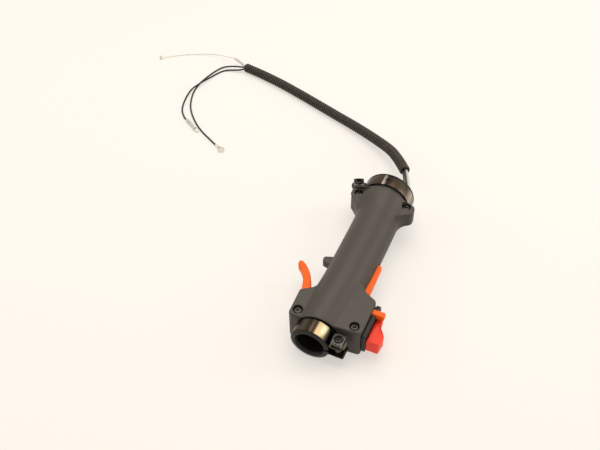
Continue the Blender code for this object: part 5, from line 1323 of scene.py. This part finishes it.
def strip(radius, middle_y, side, low_round):
    """The band: a rounded rectangle carried along its path, as wide as the strip is at that length; at both
    ends the width follows a circle."""
    path = strip_path(radius)
    far = np.arange(len(path)) * STRIP_STEP
    half = np.full(len(path), BAND_HALF)
    for reach, away in ((LUG_ROUND, far), (low_round, far[::-1])):
        inwards = reach - np.minimum(away, reach)
        half -= reach - np.sqrt(np.maximum(reach * reach - inwards ** 2, 0.0))
    half = np.maximum(half, LEAST_HALF)
    corner = rounded_outline(STRIP_SECTION, fineness=5) * BAND_THICK
    section = np.repeat(corner[None], len(path), 0)
    section[..., 1] += np.sign(corner[:, 1]) * (half[:, None] - BAND_THICK / 2)
    line = np.stack((side * path[:, 0], np.full(len(path), middle_y), path[:, 1]), -1)
    return body_of(carried(line, section, (0.0, 1.0, 0.0)))


def mark_turn(mesh, side):
    """Stores each point's angle round the shaft, counted upwards from the lugs, as a share of a full turn."""
    x, _, z = off_grip(points_of(mesh)).T
    store(mesh, "turn", np.arctan2(z, side * x) / (2 * math.pi) % 1.0)


CLAMPS = (
    ("front", 16.3, 8.2, 1, "band_steel", 1.5, 0.0),
    ("rear", 23.5, BAND_MIDDLE, -1, "rear_band_steel", 5.0, 0.41))
for label, radius, y, side, plated, low_round, nut_turn in CLAMPS:
    band = add_piece(label + "_strip", [strip(radius, y, side, low_round)], "band_steel", label + "_band",
                     look=plated, crease=BAND_CREASE)
    if label == "rear":
        peg_hole = turned(plain_ring(HOLE_CORE, PEG_HOLE, *PEG_SPAN), "z", (0.0, y, 0.0), count=40)
        cut_away(band, [peg_hole], BAND_CREASE)
    mark_turn(band.data, side)
    place = (side * (radius + BAND_THICK + BOLT_REACH), y)
    nut = square_nut(place, NUT_SIDE, *NUT_SPAN, nut_turn)
    add_piece(label + "_nut", [nut], "plated_steel", label + "_band_nut", crease=NUT_CREASE)
    head_points, head_faces = pan_head((0.0, 0.0, 0.0), *BOLT_HEAD)
    head = (head_points * (1.0, -1.0, -1.0) + np.array((*place, 0.0)), head_faces)
    add_piece(label + "_bolt", [threaded(place, BOLT_R, *BOLT_SPAN), head], "plated_steel",
              label + "_band_screw", crease=SCREW_CREASE)

# %% [markdown]
# ## Trigger and palm lever
# The trigger is a blade for two fingers.  Its profile is a squared-off oval that is carried along a bent
# line and grows narrow towards the tip.  The palm lever is a flat strip with soft edges.  Both keep the hub
# on which they turn, so nothing hangs loose when they move.

# %% Trigger
TRIGGER_LINE = (
    (-20.1, 38.0, 3.8), (-22.2, 43.0, 4.1), (-25.0, 50.0, 4.2), (-28.2, 58.5, 3.8), (-32.3, 66.0, 3.4),
    (-37.2, 71.6, 3.2), (-41.0, 74.6, 3.0), (-43.2, 76.4, 2.9))
TRIGGER_PIVOT, TRIGGER_HALF, TRIGGER_TIP = (-19.6, 35.2, 0.0), 5.0, 2.9
BLADE_STEP, BLADE_COUNT, OVAL_POWER, TIP_LEAST, TIP_DROP = 0.4, 64, 0.42, 0.004, 0.12
TRIGGER_HUB, CRANK_SPAN, CRANK_EDGE = (2.3, 4.2, -15.3, 5.0), (-13.6, -11.15), 0.3


def squared(wave):
    """A cosine or sine pushed towards its ends: its size to a power below 1, with its own sign."""
    return np.sign(wave) * np.abs(wave) ** OVAL_POWER


def blade(line, half_height, tip):
    """A squared oval carried along a line of (x, y, half width): across, width times the squared cosine; up,
    height times the squared sine.  Over the last stretch the width follows a circle down to the tip."""
    path = smooth_line(line, BLADE_STEP)
    far = np.minimum(np.arange(len(path))[::-1] * BLADE_STEP / tip, 1.0)
    close = np.sqrt(np.maximum(1.0 - (1.0 - far) ** 2, TIP_LEAST))
    turn = np.linspace(0.0, 2 * math.pi, BLADE_COUNT, endpoint=False)
    across = squared(np.cos(turn)) * (path[:, 2] * close)[:, None]
    rise = squared(np.sin(turn)) * (half_height * (1.0 - TIP_DROP + TIP_DROP * close))[:, None]
    return body_of(carried(path * (1.0, 1.0, 0.0), np.stack((across, rise), -1)))


hub = turned(plain_ring(*TRIGGER_HUB), "z", TRIGGER_PIVOT, count=48)
crank = rounded_outline(((-19.6, 31.8, 0.0), (-6.8, 31.8, 3.0), (-6.8, 38.6, 3.0), (-19.6, 38.6, 0.0)))
finger = [blade(TRIGGER_LINE, TRIGGER_HALF, TRIGGER_TIP), hub, moulded(crank, *CRANK_SPAN, CRANK_EDGE)]
add_piece("finger_trigger", finger, "orange_plastic", "trigger", body="trigger")

# %% Palm lever
LEVER_HALF, LEVER_EDGE, LEVER_PIVOT, LEVER_HUB = 2.8, 1.3, (18.6, 62.0, 0.0), (1.8, 3.4)
lever_plan = rounded_outline((
    (17.2, 60.0, 1.6), (21.6, 59.4, 1.6), (27.6, 67.4, 2.0), (26.8, 102.0, 3.0), (19.4, 102.0, 1.8),
    (19.4, 68.0, 2.0)), fineness=9)
lever = moulded(lever_plan, -LEVER_HALF, LEVER_HALF, LEVER_EDGE, fineness=7)
lever_hub = turned(plain_ring(*LEVER_HUB, -LEVER_HALF, LEVER_HALF), "z", LEVER_PIVOT, count=40)
add_piece("palm_lever", [lever, lever_hub], "orange_plastic", "lockout_lever", body="lockout")

# %% [markdown]
# ## Stop switch and throttle latch
# The switch is a red knob on a black plate.  The knob's outline is drawn from above; its neck is lower than
# its grip, so the upper half of the body is pressed down by a smooth step along the shaft.

# %% Switch
BASE_BACK, BASE_FACE, BASE_EDGE, BASE_CUT = 38.5, 42.1, 0.5, (36.0, 44.0)
LATCH_NOTCH = ((43.2, 4.4), (49.6, 14.0))
KNOB_LOW, KNOB_HIGH, KNOB_EDGE = -10.0, 3.4, 1.1
NECK_START, NECK_RUN, NECK_PRESS = 36.6, 3.0, 0.47
STEM, STEM_SPAN, STEM_EDGE = ((30.0, -5.0), (34.0, 1.0)), (32.6, 44.4), 0.2
plate = rounded_outline((
    (19.4, -12.0, 1.5), (58.0, -12.0, 8.0), (58.0, 9.4, 8.0), (19.4, 9.4, 1.5)), fineness=9)
base = add_piece("switch_plate", [moulded(plate, BASE_BACK, BASE_FACE, BASE_EDGE, "x")], "switch_black",
                 "switch_base", crease=CUT_CREASE)
base_cuts = [opening(box_outline(*window), *BASE_CUT, "x") for window in (STEM_WINDOW, LATCH_NOTCH)]
cut_away(base, base_cuts, CUT_CREASE)

knob_plan = finer(rounded_outline((
    (42.4, 20.6, 0.3), (53.4, 20.6, 1.8), (54.4, 31.0, 3.0), (47.0, 42.0, 3.0), (47.0, 52.0, 1.8),
    (42.4, 52.0, 0.3)), fineness=9))
knob_points, knob_faces = moulded(knob_plan, KNOB_LOW, KNOB_HIGH, KNOB_EDGE, fineness=7)
step = np.clip((knob_points[:, 1] - NECK_START) / NECK_RUN, 0.0, 1.0)
press = 1.0 - NECK_PRESS * step * step * (3.0 - 2.0 * step)
knob_points[:, 2] = np.where(knob_points[:, 2] > 0.0, knob_points[:, 2] * press, knob_points[:, 2])
stem = moulded(box_outline(*STEM), *STEM_SPAN, STEM_EDGE, "x", fineness=3)
add_piece("switch_knob", [(knob_points, knob_faces), stem], "red_plastic", "stop_switch_knob",
          body="stop_switch")

# %% Latch
bar = moulded(box_outline((43.5, 4.7), (49.3, 10.5), radius=1.4), low=32.2, high=49.0, edge=1.3, frame="x",
              fineness=8)
collar = moulded(box_outline((42.7, 4.7), (50.1, 10.6), radius=0.4), low=33.7, high=35.3, edge=0.2, frame="x",
                 fineness=3)
add_piece("latch_button", [bar, collar], "orange_plastic", "throttle_latch", body="latch")

# %% [markdown]
# ## Latch spring
# Behind the latch sits a cone of wire, so that its turns drop into each other when it is pushed flat.

# %% Spring
SPRING_TURNS, SPRING_POINTS, SPRING_SPAN, SPRING_RADII = 2.5, 120, (27.95, 31.45), (1.9, 0.9)
SPRING_Y, SPRING_Z, SPRING_WIRE, SPRING_COUNT = 46.4, 7.6, 0.4, 14
turn = np.linspace(0.0, SPRING_TURNS * 2 * math.pi, SPRING_POINTS)
cone = np.linspace(*SPRING_RADII, SPRING_POINTS)
cone_x = np.linspace(*SPRING_SPAN, SPRING_POINTS)
cone_line = np.stack((cone_x, SPRING_Y + cone * np.cos(turn), SPRING_Z + cone * np.sin(turn)), -1)
coil = body_of(carried(cone_line, circle(SPRING_WIRE, SPRING_COUNT), (1.0, 0.0, 0.0)))
latch_coil = make_piece("latch_coil", [coil], on_grip, finishes["bright_steel"])
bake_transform(latch_coil)
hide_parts("latch_spring")

# %% [markdown]
# ## Remaining solids
# Whatever keeps its engineering shape, mostly pins and springs inside, gets the finish of its own slot.

# %% Dress the solids
for part in frame["record"]["subparts"]:
    for holder in nodes[part["node"]].material_slots:
        holder.material = finishes[part["material_slot"]]
print("solids dressed:", len(nodes))
